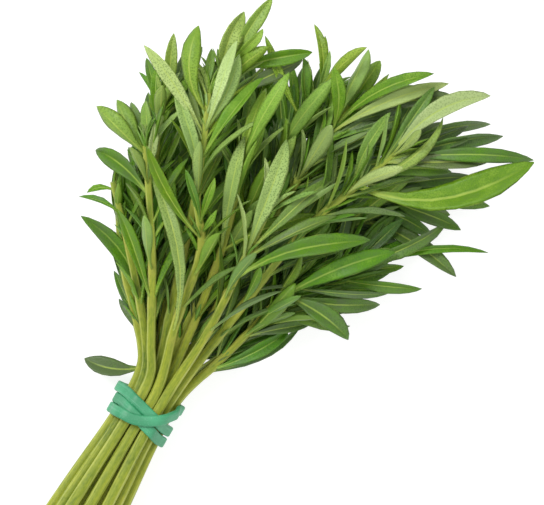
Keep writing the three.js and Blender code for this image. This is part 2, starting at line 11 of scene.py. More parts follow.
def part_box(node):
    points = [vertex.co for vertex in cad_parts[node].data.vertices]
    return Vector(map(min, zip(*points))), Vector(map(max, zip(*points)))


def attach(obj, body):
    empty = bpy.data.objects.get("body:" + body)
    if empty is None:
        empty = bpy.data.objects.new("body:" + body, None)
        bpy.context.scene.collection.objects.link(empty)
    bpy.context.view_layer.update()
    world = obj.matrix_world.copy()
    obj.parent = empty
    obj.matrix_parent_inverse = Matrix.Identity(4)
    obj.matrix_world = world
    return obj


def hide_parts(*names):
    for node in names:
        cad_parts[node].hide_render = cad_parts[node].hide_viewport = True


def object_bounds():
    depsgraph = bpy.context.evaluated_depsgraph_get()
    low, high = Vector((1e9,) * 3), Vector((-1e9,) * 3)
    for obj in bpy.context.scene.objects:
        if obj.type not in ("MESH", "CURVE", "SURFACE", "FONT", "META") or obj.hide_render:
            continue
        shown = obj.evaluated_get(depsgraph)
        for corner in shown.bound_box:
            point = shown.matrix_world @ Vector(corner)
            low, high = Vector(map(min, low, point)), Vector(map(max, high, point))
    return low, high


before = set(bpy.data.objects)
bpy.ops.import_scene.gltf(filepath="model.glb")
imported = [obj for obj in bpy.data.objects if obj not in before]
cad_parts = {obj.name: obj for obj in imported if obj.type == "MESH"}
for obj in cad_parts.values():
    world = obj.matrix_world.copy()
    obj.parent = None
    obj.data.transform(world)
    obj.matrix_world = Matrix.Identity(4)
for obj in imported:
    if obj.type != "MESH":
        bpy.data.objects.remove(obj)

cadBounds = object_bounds()
boxLow, boxHigh = (np.array(corner) for corner in cadBounds)
mm = 0.001
print("frame loaded:", len(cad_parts), "nodes")


# Small helpers

def pickNothing():
    if bpy.context.object and bpy.context.object.mode != "OBJECT":
        bpy.ops.object.mode_set(mode="OBJECT")
    bpy.ops.object.select_all(action="DESELECT")


def makeActive(piece):
    pickNothing()
    piece.select_set(True)
    bpy.context.view_layer.objects.active = piece


def pickVerts(piece, test):  # in edit mode: select the vertices that pass the test
    bpy.ops.mesh.select_mode(type="VERT")
    edit = bmesh.from_edit_mesh(piece.data)
    for vert in edit.verts:
        vert.select = test(vert.co)
    edit.select_flush_mode()
    bmesh.update_edit_mesh(piece.data)


def pickEdges(piece, test):  # in edit mode: select the edges whose two ends pass the test
    bpy.ops.mesh.select_all(action="DESELECT")
    bpy.ops.mesh.select_mode(type="EDGE")
    edit = bmesh.from_edit_mesh(piece.data)
    for edge in edit.edges:
        edge.select = test(edge.verts[0].co, edge.verts[1].co)
    edit.select_flush_mode()
    bmesh.update_edit_mesh(piece.data)


def coords(mesh):
    flat = np.empty(len(mesh.vertices) * 3)
    mesh.vertices.foreach_get("co", flat)
    return flat.reshape(-1, 3)


def setCoords(mesh, points):
    mesh.vertices.foreach_set("co", np.asarray(points, dtype=np.float32).ravel())
    mesh.update()


def setAttribute(mesh, name, kind, values):
    attribute = mesh.attributes.get(name) or mesh.attributes.new(name, kind, "POINT")
    field = "value" if kind == "FLOAT" else "vector"
    attribute.data.foreach_set(field, np.asarray(values, dtype=np.float32).ravel())


def unit(rows):
    return rows / np.maximum(np.linalg.norm(rows, axis=-1, keepdims=True), 1e-12)


def blendBetween(low, high, value):  # 0 below low, 1 above high, smooth in between
    share = np.clip((value - low) / (high - low), 0, 1)
    return share * share * (3 - 2 * share)


def closePiece(name, parts):  # joins parts to one piece whose object is at the origin
    pickNothing()
    for part in parts:
        part.select_set(True)
    bpy.context.view_layer.objects.active = parts[0]
    bpy.ops.object.join()
    piece = bpy.context.object
    piece.name = name
    piece.data.name = name
    return piece


# Shader maths

class Reading:  # one output of a node, and sums on it
    def __init__(self, finish, socket):
        self.finish = finish
        self.socket = socket

    def maths(self, operation, first, second=0.0, clamp=False):
        settings = {"operation": operation, "use_clamp": clamp}
        return self.finish.node("ShaderNodeMath", settings, {0: first, 1: second})

    def __add__(self, other):
        return self.maths("ADD", self, other)

    def __sub__(self, other):
        return self.maths("SUBTRACT", self, other)

    def __rsub__(self, other):
        return self.maths("SUBTRACT", other, self)

    def __mul__(self, other):
        return self.maths("MULTIPLY", self, other)

    def __abs__(self):
        return self.maths("ABSOLUTE", self)

    def step(self, low, high):  # 0 at low, 1 at high, smooth in between
        settings = {"interpolation_type": "SMOOTHSTEP", "clamp": True}
        return self.finish.node("ShaderNodeMapRange", settings, {0: self, 1: low, 2: high})

    __radd__ = __add__
    __rmul__ = __mul__


class Finish:  # one material and its nodes
    def __init__(self, name):
        self.material = bpy.data.materials.new(name)
        self.material.use_nodes = True
        self.tree = self.material.node_tree
        self.shader = self.tree.nodes["Principled BSDF"]

    def node(self, kind, settings=None, inputs=None, out=0):
        made = self.tree.nodes.new(kind)
        for key, value in (settings or {}).items():
            if key == "stops":
                self.setStops(made.color_ramp, value)
            else:
                setattr(made, key, value)
        for key, value in (inputs or {}).items():
            self.feed(made.inputs[key], value)
        if isinstance(out, (list, tuple)):
            return [Reading(self, made.outputs[one]) for one in out]
        return Reading(self, made.outputs[out])

    def feed(self, socket, value):
        if isinstance(value, Reading):
            self.tree.links.new(value.socket, socket)
        else:
            socket.default_value = value

    def setStops(self, ramp, stops):
        while len(ramp.elements) > 1:
            ramp.elements.remove(ramp.elements[-1])
        for number, (place, colour) in enumerate(stops):
            stop = ramp.elements[0] if number == 0 else ramp.elements.new(place)
            stop.position = place
            stop.color = (*colour, 1)

    def mixed(self, share, first, second, way="MIX"):
        settings = {"data_type": "RGBA", "blend_type": way, "clamp_factor": True}
        first, second = (c if isinstance(c, Reading) else (*c, 1) for c in (first, second))
        return self.node("ShaderNodeMix", settings, {0: share, 6: first, 7: second}, 2)

    def attribute(self, name, out=2):
        return self.node("ShaderNodeAttribute", {"attribute_name": name}, None, out)

    def split(self, vector):
        return self.node("ShaderNodeSeparateXYZ", None, {0: vector}, [0, 1, 2])

    def stretched(self, vector, scale):
        settings = {"operation": "MULTIPLY"}
        return self.node("ShaderNodeVectorMath", settings, {0: vector, 1: scale})

    def noise(self, place, scale, detail=2.0, rough=0.5):
        inputs = {"Vector": place, "Scale": scale, "Detail": detail, "Roughness": rough}
        return self.node("ShaderNodeTexNoise", None, inputs)

    def cells(self, place, scale, jitter=1.0):
        inputs = {"Vector": place, "Scale": scale, "Randomness": jitter}
        return self.node("ShaderNodeTexVoronoi", {"voronoi_dimensions": "2D"}, inputs)

    def bump(self, height, strength, depth):
        inputs = {"Strength": strength, "Distance": depth, "Height": height}
        return self.node("ShaderNodeBump", None, inputs)

    def wear(self, **sockets):  # sets or links the shader's own sockets
        for name, value in sockets.items():
            self.feed(self.shader.inputs[name.replace("_", " ")], value)
        return self.material


# Finishes

leafLook = {
    "deep": (0.080, 0.122, 0.044),      # upper side, old leaves, and painted shade on low and gap-filling leaves
    "middle": (0.096, 0.212, 0.014),
    "bright": (0.250, 0.395, 0.050),    # upper side, young leaves, and painted light on high leaves towards the front and left
    "under": (0.165, 0.310, 0.046),     # underside
    "paleFilmAndHighlight": (0.580, 0.700, 0.320),     # a pale film on young leaves, and painted highlight on high outer leaves
    "rib": (0.380, 0.490, 0.095),
    "dot": (0.032, 0.085, 0.008),
    "dotScale": 1800.0,                 # oil glands, cells per metre
    "fine": (2600.0, 0.40),             # noises: scale, and their part in the tone
    "mottle": (560.0, 0.55),
    "wide": (90.0, 0.75),
    "veins": 900.0,
    "underPale": 0.75,
    "neckPale": 0.60,
    "ribPale": 0.8,
    "marginPale": 0.5,
    "roughness": 0.46,
    "hue": (0.520, 0.036),              # at the middle, and from yellow to cool green
    "strength": 1.06,
}


def leafFinish(name, shift):  # shift moves a slot's greens a little
    made = Finish(name)
    place = made.attribute("skinPlace", 1)
    along, across, face = made.split(made.attribute("skinShare", 1))
    tone, hue, paleFilmAndHighlight = made.split(made.attribute("skinTone", 1))
    spots = made.attribute("skinSpots")
    away = abs(across)
    fineScale, fineShare = leafLook["fine"]
    mottleScale, mottleShare = leafLook["mottle"]
    wideScale, wideShare = leafLook["wide"]
    fine = made.noise(place, fineScale, 2.0)
    mottle = made.noise(made.stretched(place, (0.5, 1.0, 1.0)), mottleScale, 3.0)
    wide = made.noise(place, wideScale, 2.0)
    age = tone + shift + (wide - 0.5) * wideShare
    age = age + (mottle - 0.5) * mottleShare + (fine - 0.5) * fineShare
    stops = [(0.0, leafLook["deep"]), (0.5, leafLook["middle"]), (1.0, leafLook["bright"])]
    upper = made.node("ShaderNodeValToRGB", {"stops": stops}, {0: age})
    # the pale film: real bloom on young leaves, and painted highlight on high outer ones
    upper = made.mixed(paleFilmAndHighlight * (0.3 + wide * 0.5), upper, leafLook["paleFilmAndHighlight"])
    below = 1 - face.step(-0.35, 0.1)
    paleness = made.mixed(0.50, leafLook["under"], upper)
    skin = made.mixed(below * leafLook["underPale"], upper, paleness)
    neck = 1 - along.step(0.02, 0.30)
    skin = made.mixed(neck * leafLook["neckPale"], skin, leafLook["rib"])
    rib = (1 - away.step(0.02, 0.12)) * (1 - along.step(0.6, 1.0)) * (0.5 + mottle * 0.6)
    skin = made.mixed(rib * leafLook["ribPale"], skin, leafLook["rib"])
    margin = away.step(0.90, 1.0)
    skin = made.mixed(margin * leafLook["marginPale"], skin, leafLook["rib"])
    gland = made.cells(place, leafLook["dotScale"])
    dots = (1 - gland.step(0.18, 0.36)) * (1 - rib) * (0.3 + wide.step(0.35, 0.6) * 0.7)
    skin = made.mixed(dots * spots, skin, leafLook["dot"])
    turned = leafLook["hue"][0] - hue * leafLook["hue"][1]
    shade = {"Hue": turned, "Saturation": leafLook["strength"], "Color": skin}
    skin = made.node("ShaderNodeHueSaturation", None, shade)
    veins = made.noise(made.stretched(place, (0.25, 1.0, 1.0)), leafLook["veins"], 2.0)
    rough = leafLook["roughness"] + (mottle - 0.5) * 0.25 - dots * 0.08
    height = veins * 0.6 + fine * 0.3 - dots * 0.5 + mottle * 0.5 - rib * 0.7
    return made.wear(
        Base_Color=skin,
        Roughness=rough,
        Normal=made.bump(height, 0.5, 0.00028),
        Specular_IOR_Level=0.24,
    )


stemLook = {
    "pale": (0.345, 0.378, 0.026),
    # pale ridges on the corners, with painted highlight
    "ridgeAndHighlight": (0.520, 0.560, 0.150),
    "middle": (0.215, 0.270, 0.018),
    "shaded": (0.070, 0.125, 0.010),
    "young": (0.350, 0.460, 0.055),
    "joint": (0.330, 0.310, 0.050),     # where the leaves leave the stem
    "pith": (0.560, 0.600, 0.300),
    "bruise": (0.120, 0.085, 0.025),
    "lines": (3400.0, 0.7),             # noises: scale, and their part in the tone
    "blotch": (260.0, 1.5),
    "grain": (1900.0, 0.9),
    "hairs": 5200.0,
    "flecks": 900.0,
    "ridgeAndHighlightShare": 0.45,
    "flatShade": 0.22,
}


def stemFinish(name):
    made = Finish(name)
    place = made.attribute("skinPlace", 1)
    joint, around, cut = made.split(made.attribute("skinShare", 1))
    tone, young, _ = made.split(made.attribute("skinTone", 1))
    lineScale, lineShare = stemLook["lines"]
    blotchScale, blotchShare = stemLook["blotch"]
    grainScale, grainShare = stemLook["grain"]
    lines = made.noise(made.stretched(place, (0.03, 1.0, 1.0)), lineScale, 2.0)
    blotch = made.noise(made.stretched(place, (0.3, 1.0, 1.0)), blotchScale, 4.0, 0.6)
    grain = made.noise(made.stretched(place, (0.4, 1.0, 1.0)), grainScale, 3.0)
    age = tone + (lines - 0.5) * lineShare
    age = age + (blotch - 0.5) * blotchShare + (grain - 0.5) * grainShare
    stops = [(0.0, stemLook["shaded"]), (0.5, stemLook["middle"]), (1.0, stemLook["pale"])]
    skin = made.node("ShaderNodeValToRGB", {"stops": stops}, {0: age})
    skin = made.mixed(young * (0.3 + blotch * 0.6), skin, stemLook["young"])
    square = around.maths("COSINE", around * 4)     # -1 at the corners, 1 on the flats
    # pale ridges with painted highlight on the corners of the square stem; painted shade darkens the
    # flats below
    ridgeAndHighlight = (1 - square.step(-1.0, -0.45)) * lines.step(0.3, 0.6)
    skin = made.mixed(ridgeAndHighlight * stemLook["ridgeAndHighlightShare"], skin, stemLook["ridgeAndHighlight"])
    flat = square.step(0.2, 1.0) * stemLook["flatShade"]
    skin = made.mixed(flat, skin, stemLook["shaded"])
    skin = made.mixed(joint * blotch.step(0.4, 0.65) * 0.45, skin, stemLook["joint"])
    flecks = made.cells(place, stemLook["flecks"])
    worn = (1 - flecks.step(0.05, 0.16)) * blotch.step(0.5, 0.65)
    skin = made.mixed(worn * 0.4, skin, stemLook["bruise"])
    skin = made.mixed(cut.step(0.4, 0.6), skin, stemLook["pith"])
    hairs = made.noise(made.stretched(place, (0.35, 1.0, 1.0)), stemLook["hairs"], 2.0)
    height = lines * 0.5 + grain * 0.5 + hairs * 0.4 - worn * 0.5
    return made.wear(
        Base_Color=skin,
        Roughness=0.50 + (hairs - 0.5) * 0.25,
        Normal=made.bump(height, 0.45, 0.00018),
        Specular_IOR_Level=0.20,
    )


bandLook = {
    "face": (0.040, 0.322, 0.140),
    "deep": (0.021, 0.228, 0.092),
    "dust": (0.240, 0.560, 0.400),
    "cloud": 160.0,
    "grain": 3200.0,
    "lines": 2600.0,
}


def bandFinish(name):
    made = Finish(name)
    place = made.attribute("skinPlace", 1)
    cloud = made.noise(place, bandLook["cloud"], 3.0)
    grain = made.noise(place, bandLook["grain"], 2.0)
    lines = made.noise(made.stretched(place, (0.03, 1.0, 1.0)), bandLook["lines"], 2.0)
    skin = made.mixed(cloud.step(0.3, 0.7), bandLook["face"], bandLook["deep"])
    skin = made.mixed(grain.step(0.58, 0.72) * 0.28, skin, bandLook["dust"])
    skin = made.mixed(lines.step(0.55, 0.7) * 0.18, skin, bandLook["dust"])
    height = grain * 0.35 + lines * 0.5
    return made.wear(
        Base_Color=skin,
        Roughness=0.42 + grain * 0.18,
        Normal=made.bump(height, 0.35, 0.0001),
        Specular_IOR_Level=0.5,
    )


slotNames = ["savory_green_a", "savory_green_b", "savory_green_c", "savory_green_d"]
slotShifts = [-0.02, 0.04, -0.06, 0.08]
leafGreens = [leafFinish("leaf" + s[-1].upper(), d) for s, d in zip(slotNames, slotShifts)]
stemGreen = stemFinish("stemGreen")
tealRubber = bandFinish("tealRubber")
print("finishes made")


# Masters, modelled once

bladeForm = {
    # along the blade: place, half width, half thickness
    "leaf": [
        (0.0, 0.17, 1.9), (0.12, 0.21, 1.6), (0.26, 0.42, 1.25), (0.40, 0.74, 1.05),
        (0.53, 0.94, 0.95), (0.65, 1.0, 0.88), (0.77, 0.92, 0.8), (0.87, 0.69, 0.65),
        (0.95, 0.38, 0.45), (1.0, 0.05, 0.2),
    ],
    "leaflet": [
        (0.0, 0.2, 1.6), (0.24, 0.5, 1.3), (0.48, 0.95, 1.0), (0.70, 0.95, 0.85),
        (0.89, 0.5, 0.65), (1.0, 0.04, 0.2),
    ],
    "corners": 8,       # round the section
    "groove": 0.3,      # how much of the upper side's height is left at the rib
    "grooved": (0.2, 0.95),
}


def modelBlade(name, stations):
    # A flat ring is drawn out station by station, made wider and thinner on the way
    place, wide, thick = stations[0]
    bpy.ops.mesh.primitive_circle_add(
        vertices=bladeForm["corners"], radius=1, fill_type="NGON",
        rotation=(0, math.pi / 2, 0), location=(0, 0, 0),
    )
    blade = bpy.context.object
    blade.name = name
    bpy.ops.object.transform_apply(location=True, rotation=True, scale=True)
    bpy.ops.object.mode_set(mode="EDIT")
    bpy.ops.mesh.select_all(action="SELECT")
    bpy.ops.transform.resize(value=(1, wide, thick), center_override=(0, 0, 0))
    for nextPlace, nextWide, nextThick in stations[1:]:
        bpy.ops.mesh.extrude_region_move(
            TRANSFORM_OT_translate={"value": (nextPlace - place, 0, 0)}
        )
        ratio = (1, nextWide / wide, nextThick / thick)
        bpy.ops.transform.resize(value=ratio, center_override=(0, 0, 0))
        place, wide, thick = nextPlace, nextWide, nextThick
    # The rib: a groove on the upper side
    low, high = bladeForm["grooved"]
    pickVerts(blade, lambda co: co.z > 0 and abs(co.y) < 0.01 and low < co.x < high)
    bpy.ops.transform.resize(value=(1, 1, bladeForm["groove"]), center_override=(0, 0, 0))
    pickEdges(blade, lambda a, b: a.z > 0 and b.z > 0 and abs(a.y) + abs(b.y) < 0.01)
    bpy.ops.mesh.mark_sharp()  # the rib is a crease
    bpy.ops.mesh.select_all(action="SELECT")
    bpy.ops.mesh.normals_make_consistent(inside=False)
    bpy.ops.object.mode_set(mode="OBJECT")
    bpy.ops.object.shade_smooth()
    pickNothing()
    return blade


stalkForm = {
    "corners": 12,
    "stations": 64,
    "rim": 0.3,         # of the cut end, per radius
    "pith": 0.25,
    "setIn": 0.0012,    # of the bar's length
}


def modelStalk(name):
    # A round bar of length 1, cut into stations
    bpy.ops.mesh.primitive_cylinder_add(
        vertices=stalkForm["corners"], radius=1, depth=1, end_fill_type="NGON",
        rotation=(0, math.pi / 2, 0), location=(0.5, 0, 0),
    )
    stalk = bpy.context.object
    stalk.name = name
    bpy.ops.object.transform_apply(location=True, rotation=True, scale=True)
    bpy.ops.object.mode_set(mode="EDIT")
    for number in range(1, stalkForm["stations"]):
        bpy.ops.mesh.select_all(action="SELECT")
        bpy.ops.mesh.bisect(
            plane_co=(number / stalkForm["stations"], 0, 0), plane_no=(1, 0, 0)
        )
    # The cut end: a rim and a face that is set in
    pickVerts(stalk, lambda co: co.x < 1e-4)
    bpy.ops.mesh.inset(thickness=stalkForm["rim"], depth=0)
    bpy.ops.mesh.inset(thickness=stalkForm["pith"], depth=-stalkForm["setIn"])
    bpy.ops.mesh.select_all(action="SELECT")
    bpy.ops.mesh.normals_make_consistent(inside=False)
    bpy.ops.object.mode_set(mode="OBJECT")
    bpy.ops.object.shade_smooth_by_angle(angle=math.radians(50))
    pickNothing()
    return stalk


leafMaster = modelBlade("leafMaster", bladeForm["leaf"])
leafletMaster = modelBlade("leafletMaster", bladeForm["leaflet"])
stalkMaster = modelStalk("stalkMaster")
print("masters:", len(leafMaster.data.polygons), len(leafletMaster.data.polygons),
      len(stalkMaster.data.polygons), "faces")


# The stems' ways

# In the layout x is right and y away as one looks down, in millimetres, with the
# middle of the band at x = y = 0. The bunch axis stands 60 degrees from x.
layout = {
    "axis": math.radians(60),
    "shift": (-28.5435, 3.2679),    # from the layout to the frame, after the turn
    "pitch": 2.9,                   # from stem to stem in the bundle
    "rows": [3, 4, 5, 4, 3],        # stems in each row, from the top
    "bandRadius": 1.35,
    "bandThick": 1.1,
    "lowest": 1.1 + 0.3 + 1.35,     # the bottom row's height
    "opens": 26.0,                  # so far below the band's middle
    "straight": 7.0,                # and so far each way under the band
    # At the cut, where it opens, and at the two ends of the straight: wide, high, lower
    "spread": [(1.6, 1.12, 0.9), (1.33, 1.06, 0.4), (1.03, 1.0, 0.0), (1.03, 1.0, 0.0)],
    "pastBand": 80,                 # a stem's first points, to past the band
    "step": 1.5 * mm,               # each way along a stem, to find its direction
    "shown": (1, 2, 3, 7, 11),      # sprigs whose bare stems show on top
    # The leafy part's outline from above
    "outline": [
        (-3.5, 16), (-6.5, 27), (-8, 34), (-9, 42), (-7.3, 52.5), (-6.8, 61), (-3.8, 68),
        (-0.3, 76.5), (1.3, 85),
        (7, 89.5), (14, 91.5), (19.5, 92), (24, 97), (28.5, 97), (29.5, 92), (35, 88.5),
        (41.5, 88.5), (46.5, 85), (50, 83.5), (60.5, 82), (70, 82), (78.5, 78.5),
        (82, 68), (89, 61), (88, 54), (80, 50), (73, 46.5), (68.5, 41.5), (66, 37), (61.5, 33),
        (58, 27.5), (50, 23.5), (46.5, 20), (38.5, 20), (30, 16), (20, 11), (10, 4), (0, 0),
    ],
}

# Row and place under the band, then the way from there
ways = [
    (0, 0, [(1.5, 17, 16), (1.8, 39.5, 21), (0.8, 58, 24), (0.2, 66, 25.5)]),
    (0, 1, [(7.5, 21, 18), (14, 40, 24), (13, 53, 26.5), (15, 69, 29), (16, 79, 29)]),
    (0, 2, [(16, 20, 18.5), (25.8, 39.5, 25), (31, 50, 28)]),
    (1, 0, [(-0.2, 20, 12.7), (-4, 40, 16), (-8, 57, 19)]),
    (1, 1, [(6.5, 25, 14), (12, 50, 17.5), (18, 75, 21), (22, 88, 23)]),
    (1, 2, [(11.5, 20, 13.7), (18.5, 38, 18), (22, 50, 22), (24.5, 62, 25)]),
    (1, 3, [(17, 16.5, 13.5), (38.5, 43.5, 20), (53, 56, 24), (62.5, 64.3, 27)]),
    (2, 0, [(-1.2, 18, 8.6), (-5.6, 36, 10), (-6.8, 50, 11)]),
    (2, 1, [(1.5, 25, 9.2), (2.5, 50, 12), (3, 67, 18), (4, 75, 21)]),
    (2, 2, [(12, 24, 10.3), (28, 53, 14), (44, 80, 18.5)]),
    (2, 3, [(15, 20.5, 10.3), (30, 45, 15), (46.5, 69.5, 20.5), (51, 76, 21.5)]),
    (2, 4, [(21, 14.5, 9.8), (31, 25, 12.5), (37, 32, 13.5)]),
    (3, 0, [(-1.2, 20, 5.6), (-5.2, 36, 6.2), (-6.4, 49, 7)]),
    (3, 1, [(4.8, 25, 6.2), (9, 50, 7.4), (11, 72, 8.5)]),
    (3, 2, [(12, 22, 6.3), (27, 43, 7.8), (43, 62, 10), (49, 70, 11)]),
    (3, 3, [(20.3, 14.3, 6), (35, 26, 7.5), (50, 35.5, 9)]),
    (4, 0, [(1.8, 22, 3), (0, 42, 3.6), (-2, 60, 4.5)]),
    (4, 1, [(9, 24, 3), (19, 50, 3.6), (29, 77, 5)]),
    (4, 2, [(15.5, 17, 3), (36, 36, 3.6), (61, 55, 5)]),
]


def toFrame(point):  # from the layout, in millimetres, to the frame, in metres
    c, s = math.cos(layout["axis"]), math.sin(layout["axis"])
    x, y, z = point
    return (
        (c * x + s * y + layout["shift"][0]) * mm,
        (c * y - s * x + layout["shift"][1]) * mm,
        z * mm,
    )


def overBunch(spots):  # which points of the frame lie in the outline, seen from above
    c, s = math.cos(layout["axis"]), math.sin(layout["axis"])
    ahead, left = (np.atleast_2d(spots)[:, :2] / mm - layout["shift"]).T
    x, y = c * ahead - s * left, s * ahead + c * left
    inside = np.zeros(len(x), bool)
    corners = layout["outline"]
    for (fromX, fromY), (toX, toY) in zip(corners, corners[1:] + corners[:1]):
        crossed = (fromY > y) != (toY > y)
        edge = fromX + (toX - fromX) * (y - fromY) / ((toY - fromY) or 1)
        inside ^= crossed & (x < edge)
    return inside


def smoothWay(points, perSpan=24):  # a curve through the points
    points = np.array(points, float)
    ends = [2 * points[0] - points[1], *points, 2 * points[-1] - points[-2]]
    found = []
    t = np.linspace(0, 1, perSpan, endpoint=False)[:, None]
    for before, first, second, after in zip(ends, ends[1:], ends[2:], ends[3:]):
        m0, m1 = (second - before) / 2, (after - first) / 2
        found.append(
            (2 * t**3 - 3 * t**2 + 1) * first + (t**3 - 2 * t**2 + t) * m0
            + (3 * t**2 - 2 * t**3) * second + (t**3 - t**2) * m1
        )
    return np.vstack([*found, points[-1:]])


class StemWay:  # points, directions and lengths along one stem, in the frame
    def __init__(self, row, place, route, cutX):
        v = ((layout["rows"][row] - 1) / 2 - place) * layout["pitch"]
        rise = layout["pitch"] * math.sin(math.pi / 3)
        z = (len(layout["rows"]) - 1 - row) * rise
        cut = layout["shift"][0] - cutX / mm
        stops = [-cut, -layout["opens"], -layout["straight"], layout["straight"]]
        points = [
            (u * mm + layout["shift"][0] * mm, (v * wide + layout["shift"][1]) * mm,
             (layout["lowest"] + z * high - drop) * mm)
            for u, (wide, high, drop) in zip(stops, layout["spread"])
        ]
        points += [toFrame(p) for p in route]
        self.points = smoothWay(points)
        steps = np.linalg.norm(np.diff(self.points, axis=0), axis=1)
        self.lengths = np.concatenate([[0], np.cumsum(steps)])
        self.total = self.lengths[-1]
        first = layout["pastBand"]
        self.bandAt = float(np.interp(layout["shift"][0] * mm, self.points[:first, 0],
                                      self.lengths[:first]))

    def at(self, distance):  # point, ahead, side and over
        def point(d):
            return np.stack([np.interp(d, self.lengths, self.points[:, i]) for i in range(3)],
                            axis=-1)
        distance = np.asarray(distance, float)
        reach = layout["step"]
        ahead = unit(point(np.minimum(distance + reach, self.total))
                     - point(np.maximum(distance - reach, 0)))
        side = unit(np.cross([0.0, 0.0, 1.0], ahead))
        return point(distance), ahead, side, np.cross(ahead, side)

    def nearest(self, spot):  # distance along the stem, and how far off it the spot is
        off = np.linalg.norm(self.points - spot, axis=1)
        best = int(np.argmin(off))
        return self.lengths[best], off[best]


# Reading the leaves

readForm = {
    "thick": 0.9 * mm,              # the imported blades
    "fold": 0.3,
    "large": [0.16, 0.46, 0.78],    # where their rings are
    "small": [0.25, 0.66],
    "largeWide": [0.48, 1.0, 0.78],
    "smallWide": [0.75, 0.85],
    "slack": 1e-5,
    "merge": 2e-6,
    "even": 0.95,                   # rings of a small blade differ less in width
}


def oppositePairs(ring):
    def joined(a, b):
        return any(edge.other_vert(a) == b for edge in a.link_edges)
    for other in ring[1:]:
        rest = [vert for vert in ring[1:] if vert != other]
        if not joined(ring[0], other) and not joined(*rest):
            return (ring[0], other), tuple(rest)
    return None


def asRing(pairs):  # left, rib, right, keel
    for (left, right), (rib, keel) in (pairs, pairs[::-1]):
        half = (left.co - right.co).length / 2
        fold = (left.co + right.co - rib.co - keel.co) / 2
        thick = (rib.co - keel.co).length
        isThick = abs(thick - readForm["thick"]) < readForm["slack"]
        if isThick and abs(fold.length - readForm["fold"] * half) < readForm["slack"]:
            if fold.dot(rib.co - keel.co) < 0:
                rib, keel = keel, rib
            return left, rib, right, keel
    return None


def inwardFrom(vert, known):
    found = [e.other_vert(vert) for e in vert.link_edges if e.other_vert(vert) not in known]
    return found[0] if len(found) == 1 else None


def ringsFrom(tip):
    if len(tip.link_edges) != 4:
        return []
    pairs = oppositePairs([edge.other_vert(tip) for edge in tip.link_edges])
    ring = asRing(pairs) if pairs else None
    if not ring:
        return []
    rings = [ring]
    known = {tip, *ring}
    while len(rings) < 3:
        left, rib, right, keel = rings[-1]
        sides = (inwardFrom(left, known), inwardFrom(right, known))
        if None in sides:
            break
        middle = (inwardFrom(rib, known | set(sides)), inwardFrom(keel, known | set(sides)))
        ring = asRing((sides, middle)) if None not in middle else None
        if not ring:
            break
        rings.append(ring)
        known |= set(ring)
    return rings


def fitBlade(tip, rings, way):
    # The blade's middle line is root + chord t + bend 4t(1-t). The root lies on the stem.
    ratio = rings[0]["half"] / rings[1]["half"] if len(rings) > 1 else None
    kinds = ["large", "small"]
    if ratio is not None:
        kinds = ["large"] if ratio < readForm["even"] or len(rings) == 3 else ["small"]
    best = None
    for kind in kinds:
        places = readForm[kind][::-1][:len(rings)]
        wides = readForm[kind + "Wide"][::-1][:len(rings)]
        rows = [ring["centre"] - tip * t for ring, t in zip(rings, places)]
        if len(rings) == 1:
            root = rows[0] / (1 - places[0])
        else:
            table = np.array([[1 - t, 4 * t * (1 - t)] for t in places])
            root = np.linalg.lstsq(table, np.array(rows), rcond=None)[0][0]
        distance, off = way.nearest(root)
        if best is None or off < best["off"]:
            root = way.at(distance)[0]
            shares = np.array([4 * t * (1 - t) for t in places])
            rest = np.array([row - (1 - t) * root for row, t in zip(rows, places)])
            bend = (shares[:, None] * rest).sum(axis=0) / (shares**2).sum()
            best = {
                "root": root, "tip": tip, "bend": bend, "off": off, "distance": distance,
                "half": float(np.mean([r["half"] / w for r, w in zip(rings, wides)])),
                "places": places[::-1], "normals": [r["normal"] for r in rings][::-1],
                "kind": kind,
            }
    return best


def readBlades(node, way):
    edit = bmesh.new()
    edit.from_mesh(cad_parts[node].data)
    bmesh.ops.remove_doubles(edit, verts=edit.verts, dist=readForm["merge"])
    found = []
    for vert in edit.verts:
        rings = ringsFrom(vert)
        if rings:
            found.append((vert, rings))
    found.sort(key=lambda one: (-len(one[1]), one[0].index))
    used = set()
    blades = []
    for vert, rings in found:
        if used & {v for ring in rings for v in ring}:
            continue
        used |= {v for ring in rings for v in ring}
        measured = [
            {
                "centre": np.array((rib.co + keel.co) / 2),
                "half": (left.co - right.co).length / 2,
                "normal": np.array((rib.co - keel.co).normalized()),
            }
            for left, rib, right, keel in rings
        ]
        blades.append(fitBlade(np.array(vert.co), measured, way))
    edit.free()
    return blades


# Sprigs

leafForm = {
    "thick": 0.2 * mm,          # half thickness of the master's 1
    "fold": (0.34, 0.80),       # the edges stand above the rib, per half width
    "cup": (-0.6, 0.5),         # more of it towards the edges, or less
    "arch": (0.0, 0.09),        # the middle stands up, per length
    "droop": (-0.05, 0.20),     # and the outer end hangs
    "outer": 0.45,              # from here on
    "sway": (-0.06, 0.06),
    "wave": (0.04, 0.22),
    "spots": (0.2, 0.6),        # how dark the oil glands are
    "waves": (1.2, 2.8),
    "twist": (-0.45, 0.45),
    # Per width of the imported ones; inner leaves end over the bunch
    "slim": {"large": (0.88, 1.02), "inner": (0.70, 0.88), "small": (0.62, 0.8)},
}


